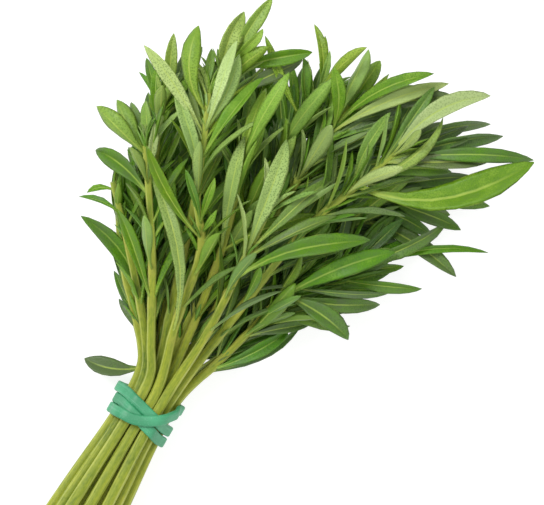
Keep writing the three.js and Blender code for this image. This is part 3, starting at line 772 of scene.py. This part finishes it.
def layBlade(master, blade, rng, look, seat):
    # A copy of the master leaf, laid along one blade
    leaf = bpy.data.objects.new("leaf", master.data.copy())
    bpy.context.scene.collection.objects.link(leaf)
    co = coords(leaf.data)
    t, s, h = co[:, 0], co[:, 1], co[:, 2]
    root, tip, bend = blade["root"], blade["tip"], blade["bend"]
    chord = tip - root
    length = float(np.linalg.norm(chord))
    half = blade["half"] * rng.uniform(*leafForm["slim"][blade.get("slim", blade["kind"])])
    places = np.array(blade["places"])
    normals = np.array(blade["normals"])
    normal = np.stack([np.interp(t, places, normals[:, i]) for i in range(3)], axis=-1)
    centre = root + t[:, None] * chord + (4 * t * (1 - t))[:, None] * bend
    ahead = unit(chord + (4 - 8 * t)[:, None] * bend)
    normal = unit(normal - (normal * ahead).sum(axis=1, keepdims=True) * ahead)
    side = np.cross(ahead, normal)
    outer = np.clip((t - leafForm["outer"]) / (1 - leafForm["outer"]), 0, 1)
    hang = rng.uniform(*leafForm["droop"]) * outer**2
    hang = (hang - rng.uniform(*leafForm["arch"]) * 4 * t * (1 - t)) * length
    sway = rng.uniform(*leafForm["sway"]) * length * np.sin(math.pi * t) * (1 - t)
    cup = rng.uniform(*leafForm["cup"])
    share = np.abs(s)
    fold = rng.uniform(*leafForm["fold"])
    lift = fold * half * (share * (1 - cup) + cup * share**2)
    phase = rng.uniform(0, 2 * math.pi)
    turns = rng.uniform(*leafForm["waves"])
    ripple = np.sin(2 * math.pi * turns * t + phase + (s > 0) * 1.9) * share**2
    lift = lift + rng.uniform(*leafForm["wave"]) * half * ripple * np.sin(math.pi * t)
    twist = rng.uniform(*leafForm["twist"]) * t
    level = lift + h * leafForm["thick"]
    wide = s * half
    centre = centre + side * sway[:, None]
    placed = (
        centre
        + side * (wide * np.cos(twist) - level * np.sin(twist))[:, None]
        + normal * (level * np.cos(twist) + wide * np.sin(twist))[:, None]
    )
    placed[:, 2] -= hang
    setCoords(leaf.data, np.clip(placed, boxLow, boxHigh))
    offset = rng.uniform(0, 1)
    place = np.stack([t * length + offset, wide, np.full_like(t, offset)], axis=-1)
    setAttribute(leaf.data, "skinPlace", "FLOAT_VECTOR", place)
    setAttribute(leaf.data, "skinShare", "FLOAT_VECTOR", np.stack([t, s, np.sign(h)], axis=-1))
    setAttribute(leaf.data, "skinTone", "FLOAT_VECTOR", np.tile(look, (len(t), 1)))
    setAttribute(leaf.data, "skinSpots", "FLOAT", np.full(len(t), rng.uniform(*leafForm["spots"])))
    leaf.data.materials.append(None)
    leaf.data.materials.append(seat)
    leaf.data.polygons.foreach_set("material_index", np.ones(len(leaf.data.polygons), int))
    return leaf


stemForm = {
    "band": 1.55 * mm,          # from the middle to a corner
    "cut": 1.72 * mm,
    "tip": 0.80 * mm,
    "square": 0.15,             # how much the flats are drawn in
    "node": 0.12,               # how much thicker it is where leaves grow
    "nodeLength": 1.5 * mm,
    "below": 50 * mm,           # from the band to the cut
    "wobble": 0.03,
    "wobbleLength": 4.7 * mm,
    "turn": 1.2 * mm,           # the pattern's way round, per radian
    "low": (-20 * mm, 30 * mm),     # from the band: here the stem gets darker
    "lowTone": 0.1,
    "tone": (0.40, 0.80),
    "young": (30 * mm, 75 * mm),    # and here younger
}


def layStalk(way, nodesAt, rng, tone):
    stalk = bpy.data.objects.new("stalk", stalkMaster.data.copy())
    bpy.context.scene.collection.objects.link(stalk)
    co = coords(stalk.data)
    t = np.clip(co[:, 0], 0, 1)
    distance = t * way.total
    above = distance - way.bandAt
    radius = np.where(
        above < 0,
        stemForm["band"] - (stemForm["cut"] - stemForm["band"]) * above / stemForm["below"],
        stemForm["band"] - (stemForm["band"] - stemForm["tip"]) * above / (way.total - way.bandAt),
    )
    swell = np.zeros_like(radius)
    for place in nodesAt:
        swell = np.maximum(swell, np.exp(-((distance - place) / stemForm["nodeLength"]) ** 2))
    radius = radius * (1 + stemForm["node"] * swell)
    angle = np.arctan2(co[:, 2], co[:, 1])
    reach = np.hypot(co[:, 1], co[:, 2])
    square = 1 - stemForm["square"] * (0.5 + 0.5 * np.cos(4 * angle))
    point, _, side, over = way.at(distance)
    out = side * np.cos(angle)[:, None] + over * np.sin(angle)[:, None]
    wave = np.sin(distance / stemForm["wobbleLength"] + rng.uniform(0, 6))
    wobble = 1 + stemForm["wobble"] * wave
    placed = point + out * (radius * square * reach * wobble)[:, None]
    setCoords(stalk.data, placed)
    offset = rng.uniform(0, 1)
    place = np.stack([distance + offset, angle * stemForm["turn"], np.full_like(t, offset)], axis=-1)
    cut = (reach < 1 - stalkForm["pith"]).astype(float)
    setAttribute(stalk.data, "skinPlace", "FLOAT_VECTOR", place)
    setAttribute(stalk.data, "skinShare", "FLOAT_VECTOR", np.stack([swell, angle, cut], axis=-1))
    low = blendBetween(*stemForm["low"], above)
    young = blendBetween(*stemForm["young"], above)
    look = np.stack([tone - stemForm["lowTone"] * low, young, np.zeros_like(t)], axis=-1)
    setAttribute(stalk.data, "skinTone", "FLOAT_VECTOR", look)
    stalk.data.materials.append(stemGreen)
    return stalk


growForm = {
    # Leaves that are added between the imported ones, in millimetres and radians
    "corner": {"count": (1, 3), "length": (6, 14), "lean": (0.2, 0.6), "slender": (0.08, 0.115)},
    "topCorner": {"count": (1, 2), "length": (3, 7), "lean": (0.1, 0.4), "slender": (0.11, 0.15)},
    "whorl": {"count": (2, 3), "length": (14, 28), "lean": (0.3, 0.8), "slender": (0.058, 0.08)},
    "tuft": {"count": (7, 9), "length": (5, 13), "lean": (0.1, 0.55), "slender": (0.09, 0.12)},
    "whorlStep": (4.0, 6.5),
    "whorlStart": [62, 58, 34, 22, 18],     # above the band, by row
    "reach": 5.0,                           # a tip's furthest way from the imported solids
    "edge": 0.6,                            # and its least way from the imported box
    "clear": 2.4,                           # from the stems that show, seen from above
    "upright": 0.75,                        # their own leaves don't stand up more than this
    "tries": 8,
    "hidesAt": (0.35, 0.65, 0.95),          # points of a blade that are looked at
    "turn": 0.3,                            # about the place it was given, each way
    "beside": 1.1,                          # a corner leaf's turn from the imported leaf
    "faceUp": 0.9,
    "bow": (-0.10, 0.03),                   # outwards, per length
    "rise": (-0.01, 0.05),
    "lowestTip": 0.4,
    "large": 12,                            # from this length on
    "endLength": 25,                        # whorls get shorter towards the end
    "endShort": 0.3,
    "bare": 3,                              # the end without whorls
    "spiral": 2.4,                          # from tuft leaf to tuft leaf
}


def packedPoints():
    points = np.vstack([coords(node.data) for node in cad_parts.values()])
    points = np.unique(np.round(points, 6), axis=0)
    crowd = KDTree(len(points))
    for index, point in enumerate(points):
        crowd.insert(point, index)
    crowd.balance()
    return crowd


crowd = packedPoints()


def isInside(tip):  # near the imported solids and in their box
    edge = growForm["edge"] * mm
    if np.any(tip < boxLow + [edge, edge, 0]) or np.any(tip > boxHigh - edge):
        return False
    return overBunch(tip)[0] and crowd.find(tip)[2] < growForm["reach"] * mm


def hidesStem(root, tip, bend):  # would a blade lie over a stem that shows
    for t in growForm["hidesAt"]:
        spot = root + t * (tip - root) + 4 * t * (1 - t) * bend
        for way in shownWays:
            near = way.points[np.argmin(np.hypot(*(way.points[:, :2] - spot[:2]).T))]
            if np.hypot(*(near[:2] - spot[:2])) < growForm["clear"] * mm and spot[2] > near[2]:
                return True
    return False


def growBlade(way, distance, azimuth, form, rng, short=1.0):
    point, ahead, side, over = way.at(distance)
    for attempt in range(growForm["tries"]):
        length = rng.uniform(*form["length"]) * mm * short
        lean = rng.uniform(*form["lean"])
        angle = azimuth + rng.uniform(-growForm["turn"], growForm["turn"]) * (1 + attempt)
        radial = side * math.cos(angle) + over * math.sin(angle)
        if way in shownWays and radial[2] > growForm["upright"]:
            continue
        tip = point + length * (ahead * math.cos(lean) + radial * math.sin(lean))
        tip[2] = max(tip[2], growForm["lowestTip"] * mm)
        if not isInside(tip):
            continue
        face = ahead * math.sin(lean) - radial * math.cos(lean)
        face[2] += rng.uniform(0, growForm["faceUp"])
        bend = radial * rng.uniform(*growForm["bow"]) * length
        bend[2] += rng.uniform(*growForm["rise"]) * length
        if way not in shownWays and hidesStem(point, tip, bend):
            continue
        half = length * rng.uniform(*form["slender"])
        kind = "large" if length > growForm["large"] * mm else "small"
        return {"root": point, "tip": tip, "bend": bend, "places": [0.5], "kind": kind,
                "normals": [unit(face)], "half": half, "distance": distance}
    return None


def growAlong(way, row, blades, rng):
    grown = []
    for blade in blades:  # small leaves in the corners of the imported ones
        if blade["kind"] != "large":
            continue
        _, _, side, over = way.at(blade["distance"])
        out = blade["tip"] - blade["root"]
        azimuth = math.atan2(float(np.dot(out, over)), float(np.dot(out, side)))
        form = growForm["corner" if row > 1 else "topCorner"]
        for _ in range(rng.randint(*form["count"])):
            distance = blade["distance"] + rng.uniform(0, 1) * mm
            around = azimuth + rng.uniform(-growForm["beside"], growForm["beside"])
            grown.append(growBlade(way, distance, around, form, rng))
    distance = way.bandAt + growForm["whorlStart"][row] * mm
    turned = rng.uniform(0, math.pi)
    form = growForm["whorl"]
    while distance < way.total - growForm["bare"] * mm:
        left = min(1.0, (way.total - distance) / (growForm["endLength"] * mm))
        short = 1 - growForm["endShort"] * (1 - left)
        count = rng.randint(*form["count"])
        for k in range(count):
            azimuth = turned + 2 * math.pi * k / count
            grown.append(growBlade(way, distance, azimuth, form, rng, short))
        turned += math.pi / 2
        distance += rng.uniform(*growForm["whorlStep"]) * mm
    form = growForm["tuft"]
    for k in range(rng.randint(*form["count"])):
        distance = way.total - rng.uniform(0.3, 2.0) * mm
        grown.append(growBlade(way, distance, k * growForm["spiral"], form, rng))
    return [blade for blade in grown if blade]


fillForm = {
    # Leaves of all rows but the top one, where the table would show through from above
    "cell": 0.6 * mm,
    "rows": (1, 2, 3, 4),
    "length": (11 * mm, 27 * mm),
    "lean": (0.12, 0.85),
    "over": 0.62,               # the gap lies at this share of the leaf
    "slender": (0.065, 0.092),
    "fromBand": 16 * mm,
    "margin": 1,                # cells inside the outline that may stay open
    "neighbours": 0,            # of 9 cells, more than these are open
    "narrow": 0.62,             # blades cover this much of their width
    # low tones: painted shade on the leaves that fill the gaps deep in the bunch
    "tone": (0.0, 0.3),
    "most": 900,
    "border": 4,                # cells round the box
    "steep": 0.35,              # a blade on edge still covers this share
    "steps": 18,                # along a blade
    "least": 0.3 * mm,
    "wishLength": 18,           # what a leaf over a gap is best like, and the cost of less
    "perLength": 8,
    "wishLean": 0.4,
    "perLean": 2,
    "chance": 2,
    "highStem": 3,
    "rise": (-0.2, 0.15),
    "lowestTip": 1.2 * mm,
    "faceTurn": (-0.45, 0.45),
    "arch": 0.06,
}


class TopView:  # what is covered, seen from above, in square cells
    def __init__(self):
        margin = fillForm["border"] * fillForm["cell"]
        self.low = boxLow[:2] - margin
        size = (boxHigh[:2] + margin - self.low) / fillForm["cell"]
        self.covered = np.zeros(np.ceil(size).astype(int), bool)

    def place(self, point):
        return (point[:2] - self.low) / fillForm["cell"]

    def cover(self, point, radius):
        i, j = self.place(point)
        radius /= fillForm["cell"]
        reach = int(radius) + 1
        rows = np.arange(int(i) - reach, int(i) + reach + 1)
        columns = np.arange(int(j) - reach, int(j) + reach + 1)
        near = (rows[:, None] + 0.5 - i) ** 2 + (columns[None, :] + 0.5 - j) ** 2 < radius**2
        self.covered[rows[0]:rows[-1] + 1, columns[0]:columns[-1] + 1] |= near

    def coverBlade(self, blade):
        normal = np.mean(blade["normals"], axis=0)
        steep = fillForm["steep"]
        flat = steep + (1 - steep) * abs(float(normal[2]))
        for t in np.linspace(0.05, 0.97, fillForm["steps"]):
            middle = blade["root"] + t * (blade["tip"] - blade["root"])
            middle = middle + 4 * t * (1 - t) * blade["bend"]
            share = np.interp(t, *zip(*[(s[0], s[1]) for s in bladeForm["leaf"]]))
            wide = blade["half"] * flat * share * fillForm["narrow"]
            self.cover(middle, max(wide, fillForm["least"]))

    def coverStem(self, way):
        for point in way.points[::2]:
            self.cover(point, stemForm["tip"])

    def gaps(self):  # open cells well inside the outline
        rows, columns = np.indices(self.covered.shape)
        centres = np.stack([rows.ravel(), columns.ravel()], axis=-1) + 0.5
        beyond = ~overBunch(self.low + centres * fillForm["cell"]).reshape(self.covered.shape)
        for _ in range(fillForm["margin"]):
            for axis in (0, 1):
                beyond |= np.roll(beyond, 1, axis) | np.roll(beyond, -1, axis)
        inner = ~self.covered & ~beyond
        count = sum(np.roll(inner, (i, j), (0, 1)).astype(int)
                    for i in (-1, 0, 1) for j in (-1, 0, 1))
        return np.argwhere(inner & (count > fillForm["neighbours"]))


def fillBlade(view, cell, stems, rng):  # a leaf from a lower stem over one open cell
    spot = view.low + (cell + 0.5) * fillForm["cell"]
    best = None
    for plan in stems:
        way = plan["way"]
        steps = np.arange(way.bandAt + fillForm["fromBand"], way.total - 1 * mm, 1 * mm)
        roots, ahead, _, _ = way.at(steps)
        reach = (spot - roots[:, :2]) / fillForm["over"]
        length = np.linalg.norm(reach, axis=1)
        flatAhead = unit(ahead[:, :2])
        lean = np.arccos(np.clip((unit(reach) * flatAhead).sum(axis=1), -1, 1))
        shortest, longest = fillForm["length"]
        least, most = fillForm["lean"]
        fits = (length > shortest) & (length < longest) & (lean > least) & (lean < most)
        for k in np.flatnonzero(fits):
            cost = abs(length[k] / mm - fillForm["wishLength"]) / fillForm["perLength"]
            cost += abs(lean[k] - fillForm["wishLean"]) * fillForm["perLean"]
            cost += rng.uniform(0, fillForm["chance"])
            cost += fillForm["highStem"] if plan["row"] < 2 else 0
            if best is None or cost < best[0]:
                best = (cost, plan, steps[k], roots[k], reach[k], length[k])
    if best is None:
        return None
    _, plan, distance, root, reach, length = best
    tip = np.append(root[:2] + reach, root[2] + length * rng.uniform(*fillForm["rise"]))
    tip[2] = max(tip[2], fillForm["lowestTip"])
    if not isInside(tip) or hidesStem(root, tip, np.zeros(3)):
        return None
    chord = unit(tip - root)
    turned = fillForm["faceTurn"]
    face = np.array([rng.uniform(*turned), rng.uniform(*turned), 1.0])
    face = unit(face - np.dot(face, chord) * chord)
    blade = {
        "root": root, "tip": tip, "bend": np.array([0, 0, length * rng.uniform(0, fillForm["arch"])]),
        "places": [0.5], "normals": [face], "kind": "large", "distance": distance,
        "half": length * rng.uniform(*fillForm["slender"]),
        # a low tone: painted shade deep in the bunch
        "tone": rng.uniform(*fillForm["tone"]),
    }
    plan["blades"].append(blade)
    return blade


def fillGaps(plans):
    rng = random.Random(907)
    view = TopView()
    for plan in plans:
        view.coverStem(plan["way"])
        for blade in plan["blades"]:
            view.coverBlade(blade)
    stems = [plan for plan in plans if plan["row"] in fillForm["rows"]]
    cells = list(view.gaps())
    print("open cells:", len(cells))
    rng.shuffle(cells)
    added = 0
    for cell in cells:
        if view.covered[tuple(cell)] or added == fillForm["most"]:
            continue
        blade = fillBlade(view, cell, stems, rng)
        if blade:
            view.coverBlade(blade)
            added += 1
    print("leaves added over gaps:", added, "open cells left:", len(view.gaps()))


def planSprig(number, row, way):
    node = f"sprig_{number:02d}"
    rng = random.Random(number * 17 + 3)
    packed = readBlades(node, way)
    for blade in packed:
        if blade["kind"] == "large" and overBunch(blade["tip"])[0]:
            blade["slim"] = "inner"
    return {
        "number": number, "node": node, "row": row, "way": way, "rng": rng,
        "packed": len(packed), "blades": packed + growAlong(way, row, packed, rng),
    }


lookForm = {
    # By a leaf's tip: leaves high up, ahead and on the left get a lighter tone as painted light, and
    # short young leaves get a lighter one too
    "high": 40 * mm,
    "short": 16 * mm,
    "tone": {"base": -0.08, "height": 0.30, "young": 0.15, "ahead": 0.36, "left": 0.24,
             "chance": 0.2},
    "ahead": (-10 * mm, 85 * mm),
    "left": (-35 * mm, 30 * mm),
    "paleFilmAndHighlight": {"from": (0.5, 1.0), "height": 0.8, "outer": 0.6, "rare": 3, "most": 1.2,
              "ahead": (0, 35 * mm), "left": (-50 * mm, -34 * mm)},
    "hue": {"base": 0.25, "height": 0.4, "chance": 0.4},
}


def bladeLook(blade, rng):  # tone, hue, and the pale film with painted highlight
    toTone, toPaleFilmAndHighlight, toHue = lookForm["tone"], lookForm["paleFilmAndHighlight"], lookForm["hue"]
    ahead, left, up = blade["tip"]
    height = float(up) / lookForm["high"]
    length = float(np.linalg.norm(blade["tip"] - blade["root"]))
    young = toTone["young"] * max(0.0, 1 - length / lookForm["short"])
    outer = toTone["ahead"] * float(blendBetween(*lookForm["ahead"], ahead))
    outer += toTone["left"] * float(blendBetween(*lookForm["left"], left))
    chance = rng.uniform(-toTone["chance"], toTone["chance"])
    # painted light: the tone rises with the tip's height and towards the front and the left
    tone = toTone["base"] + toTone["height"] * height + outer + young + chance
    tone = min(1.0, max(0.0, blade.get("tone", tone)))
    # painted highlight: high leaves, ahead and on the left, get more of the pale film
    exposed = toPaleFilmAndHighlight["height"] * height + toPaleFilmAndHighlight["outer"] * outer
    paleFilmAndHighlight = blendBetween(*toPaleFilmAndHighlight["from"], exposed) * rng.uniform(0, 1) ** toPaleFilmAndHighlight["rare"]
    paleFilmAndHighlight *= toPaleFilmAndHighlight["most"] * blendBetween(*toPaleFilmAndHighlight["ahead"], ahead)
    paleFilmAndHighlight *= blendBetween(*toPaleFilmAndHighlight["left"], left)
    chance = rng.uniform(-toHue["chance"], toHue["chance"])
    hue = min(1.0, max(0.0, toHue["base"] + toHue["height"] * height + chance))
    return tone, hue, paleFilmAndHighlight


def buildSprig(plan):
    rng = plan["rng"]
    slot = (plan["number"] - 1) % len(leafGreens)
    stemTone = rng.uniform(*stemForm["tone"])
    nodesAt = [blade["distance"] for blade in plan["blades"][:plan["packed"]]]
    parts = [layStalk(plan["way"], nodesAt, rng, stemTone)]
    for blade in plan["blades"]:
        master = leafMaster if blade["kind"] == "large" else leafletMaster
        parts.append(layBlade(master, blade, rng, bladeLook(blade, rng), leafGreens[slot]))
    sprig = closePiece(f"savorySprig{plan['number']:02d}", parts)
    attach(sprig, "root")
    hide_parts(plan["node"])
    return len(sprig.data.polygons)


stemWays = [StemWay(*way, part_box(f"sprig_{number:02d}")[0].x)
            for number, way in enumerate(ways, start=1)]
shownWays = [stemWays[number - 1] for number in layout["shown"]]
plans = [planSprig(number, row, way)
         for number, ((row, _, _), way) in enumerate(zip(ways, stemWays), start=1)]
print("leaves read from the frame:", sum(plan["packed"] for plan in plans))
fillGaps(plans)
print("leaves in all:", sum(len(plan["blades"]) for plan in plans))
faceCounts = [buildSprig(plan) for plan in plans]
print("sprigs built, faces at most", max(faceCounts), "in all", sum(faceCounts))


# Rubber band

bandForm = {
    "width": 2.75 * mm,
    "thick": 1.25 * mm,
    "bevel": 0.5 * mm,
    "tight": 0.1,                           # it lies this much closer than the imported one
    "gap": 0.3,
    "lift": 1.35,
    "turns": 3,
    "girth": 52 * mm,                       # for the pattern
    "merge": 0.00001,
    "stations": 330,
    "shift": [
        (0, 1.8), (0.04, 1.8), (0.46, -1.8), (0.6, -1.8), (0.93, -0.95), (1.05, -0.95),
        (1.46, -4.9), (1.65, -4.9), (1.93, -3.7), (2.1, -3.8), (2.2, -3.6), (2.5, 4.2), (2.7, 4.2),
        (2.97, 1.8), (3, 1.8),
    ],
    "raise": [
        (0, 0.7), (0.03, 0.7), (0.16, 0), (2.04, 0), (2.11, 1), (2.41, 1), (2.47, 0), (2.86, 0),
        (2.97, 0.7), (3, 0.7),
    ],
}


def eased(places, turns):
    for (before, low), (after, high) in zip(places, places[1:]):
        if turns <= after:
            share = (turns - before) / (after - before)
            return low + (high - low) * share * share * (3 - 2 * share)
    return places[-1][1]


def roundBundle(turns, radius):  # a rounded hexagon, by turns from the left over the top
    side = 2 * layout["pitch"]
    arc = radius * math.pi / 3
    sector = (turns * 6) % 6
    corner = math.floor(sector + 0.5)
    walked = (sector - corner) * (side + arc)
    offArc = math.copysign(max(abs(walked) - arc / 2, 0), walked)
    cornerAngle = math.pi - corner * math.pi / 3
    outAngle = cornerAngle - (walked - offArc) / radius
    out = (math.cos(outAngle), math.sin(outAngle))
    point = (
        math.cos(cornerAngle) * side + out[0] * radius + out[1] * offArc,
        math.sin(cornerAngle) * side + out[1] * radius - out[0] * offArc,
    )
    return point, out


def bandCentres():
    base = layout["bandRadius"] + bandForm["gap"] + layout["bandThick"] / 2 - bandForm["tight"]
    middle = layout["lowest"] + layout["pitch"] * math.sin(math.pi / 3) * 2
    centres, outs = [], []
    for k in range(bandForm["stations"]):
        turns = bandForm["turns"] * k / bandForm["stations"]
        radius = base + eased(bandForm["raise"], turns) * bandForm["lift"]
        point, out = roundBundle(turns, radius)
        along = eased(bandForm["shift"], turns) + layout["shift"][0]
        centres.append((along * mm, (layout["shift"][1] - point[0]) * mm, (middle + point[1]) * mm))
        outs.append((0.0, -out[0], out[1]))
    return np.array(centres), np.array(outs)


def modelBandBar():
    # A bar with rounded edges, drawn out to its stations
    bpy.ops.mesh.primitive_plane_add(size=1, rotation=(0, math.pi / 2, 0), location=(0, 0, 0))
    bar = bpy.context.object
    bar.name = "rubberBandPiece"
    bpy.ops.object.transform_apply(location=True, rotation=True, scale=True)
    bpy.ops.object.mode_set(mode="EDIT")
    bpy.ops.mesh.select_all(action="SELECT")
    bpy.ops.transform.resize(
        value=(1, bandForm["width"] / mm, bandForm["thick"] / mm), center_override=(0, 0, 0)
    )
    bpy.ops.mesh.bevel(offset=bandForm["bevel"] / mm, segments=3, affect="VERTICES")
    bpy.ops.mesh.select_all(action="SELECT")
    for _ in range(bandForm["stations"]):
        bpy.ops.mesh.extrude_region_move(TRANSFORM_OT_translate={"value": (1, 0, 0)})
    bpy.ops.mesh.select_all(action="SELECT")
    bpy.ops.mesh.normals_make_consistent(inside=False)
    bpy.ops.object.mode_set(mode="OBJECT")
    return bar


def buildBand():
    centres, outs = bandCentres()
    count = bandForm["stations"]
    ahead = unit(np.roll(centres, -1, axis=0) - np.roll(centres, 1, axis=0))
    out = unit(outs - (outs * ahead).sum(axis=1, keepdims=True) * ahead)
    wide = np.cross(ahead, out)
    band = modelBandBar()
    co = coords(band.data)
    station = np.rint(co[:, 0]).astype(int)
    here = station % count
    sideways = wide[here] * (co[:, 1] * mm)[:, None]
    outwards = out[here] * (co[:, 2] * mm)[:, None]
    setCoords(band.data, centres[here] + sideways + outwards)
    turned = station / count * bandForm["turns"] * bandForm["girth"]
    place = np.stack([turned, co[:, 1] * mm, co[:, 2] * mm], axis=-1)
    setAttribute(band.data, "skinPlace", "FLOAT_VECTOR", place)
    makeActive(band)
    bpy.ops.object.mode_set(mode="EDIT")
    bpy.ops.mesh.select_all(action="SELECT")
    bpy.ops.mesh.delete_loose()
    bpy.ops.mesh.select_all(action="DESELECT")
    edit = bmesh.from_edit_mesh(band.data)
    for face in [f for f in edit.faces if len(f.verts) > 4]:  # the two ends of the bar
        edit.faces.remove(face)
    bmesh.update_edit_mesh(band.data)
    bpy.ops.mesh.select_all(action="SELECT")
    bpy.ops.mesh.remove_doubles(threshold=bandForm["merge"])
    bpy.ops.mesh.normals_make_consistent(inside=False)
    bpy.ops.object.mode_set(mode="OBJECT")
    bpy.ops.object.shade_smooth()
    pickNothing()
    band.data.materials.append(tealRubber)
    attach(band, "root")
    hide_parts("rubber_band")
    return band


band = buildBand()
for master in (leafMaster, leafletMaster, stalkMaster):
    bpy.data.objects.remove(master)
print("band built")


# Stage, light, camera

stageForm = {
    "floor": (0.42, 0.42, 0.42),
    "glow": 0.76,                           # the floor is lit from below, as a light table
    "pixel": 0.25 * mm,                     # on the table, in the 544 x 505 picture
    "picture": (544, 505),
    "bandPixel": (145, 410),
    "distance": 3.0,
    "focusHeight": 16 * mm,
    "sensor": 36,
    "clip": (0.05, 50),
    "aim": (30, 45, 10),                    # of the lights, in the layout
    "key": {"size": 0.6, "power": 15.5, "from": (0.2, 0.75, 1.25)},
    "fill": {"size": 1.6, "power": 5.5, "from": (-0.6, -0.9, 1.3)},
    "world": 0.64,
    "gamma": 1.11,                          # the photograph's shadows are soft
}


def buildStage():
    bpy.ops.mesh.primitive_plane_add(size=12, location=(0, 0, 0))
    floor = bpy.context.object
    floor.name = "floor"
    made = Finish("paleFloor")
    made.wear(
        Base_Color=(*stageForm["floor"], 1), Roughness=0.9, Specular_IOR_Level=0.1,
        Emission_Color=(1, 1, 1, 1), Emission_Strength=stageForm["glow"],
    )
    floor.data.materials.append(made.material)


def addLight(name, form):
    aim = toFrame(stageForm["aim"])
    x, y, z = form["from"]
    place = (aim[0] + x, aim[1] + y, z)
    bpy.ops.object.light_add(type="AREA", location=place)
    lamp = bpy.context.object
    lamp.name = name
    lamp.data.shape = "DISK"
    lamp.data.size = form["size"]
    lamp.data.energy = form["power"]
    turned = (Vector(aim) - Vector(place)).to_track_quat("-Z", "Y")
    lamp.rotation_euler = turned.to_euler()


def buildCamera():
    width, height = stageForm["picture"]
    column, line = stageForm["bandPixel"]
    aimX = (width / 2 - column) * stageForm["pixel"] / mm
    aimY = (line - height / 2) * stageForm["pixel"] / mm
    x, y, _ = toFrame((aimX, aimY, 0))
    rise = stageForm["distance"] + stageForm["focusHeight"]
    bpy.ops.object.camera_add(location=(x, y, rise), rotation=(0, 0, -layout["axis"]))
    camera = bpy.context.object
    camera.data.sensor_fit = "HORIZONTAL"
    camera.data.sensor_width = stageForm["sensor"]
    seen = width * stageForm["pixel"]
    camera.data.lens = stageForm["sensor"] * stageForm["distance"] / seen
    camera.data.clip_start, camera.data.clip_end = stageForm["clip"]
    bpy.context.scene.camera = camera


buildStage()
addLight("keyLight", stageForm["key"])
addLight("fillLight", stageForm["fill"])
world = bpy.data.worlds.new("studio")
world.use_nodes = True
world.node_tree.nodes["Background"].inputs["Color"].default_value = (1, 1, 1, 1)
world.node_tree.nodes["Background"].inputs["Strength"].default_value = stageForm["world"]
bpy.context.scene.world = world
bpy.context.scene.view_settings.view_transform = "Standard"
bpy.context.scene.view_settings.gamma = stageForm["gamma"]
buildCamera()
print("stage set")
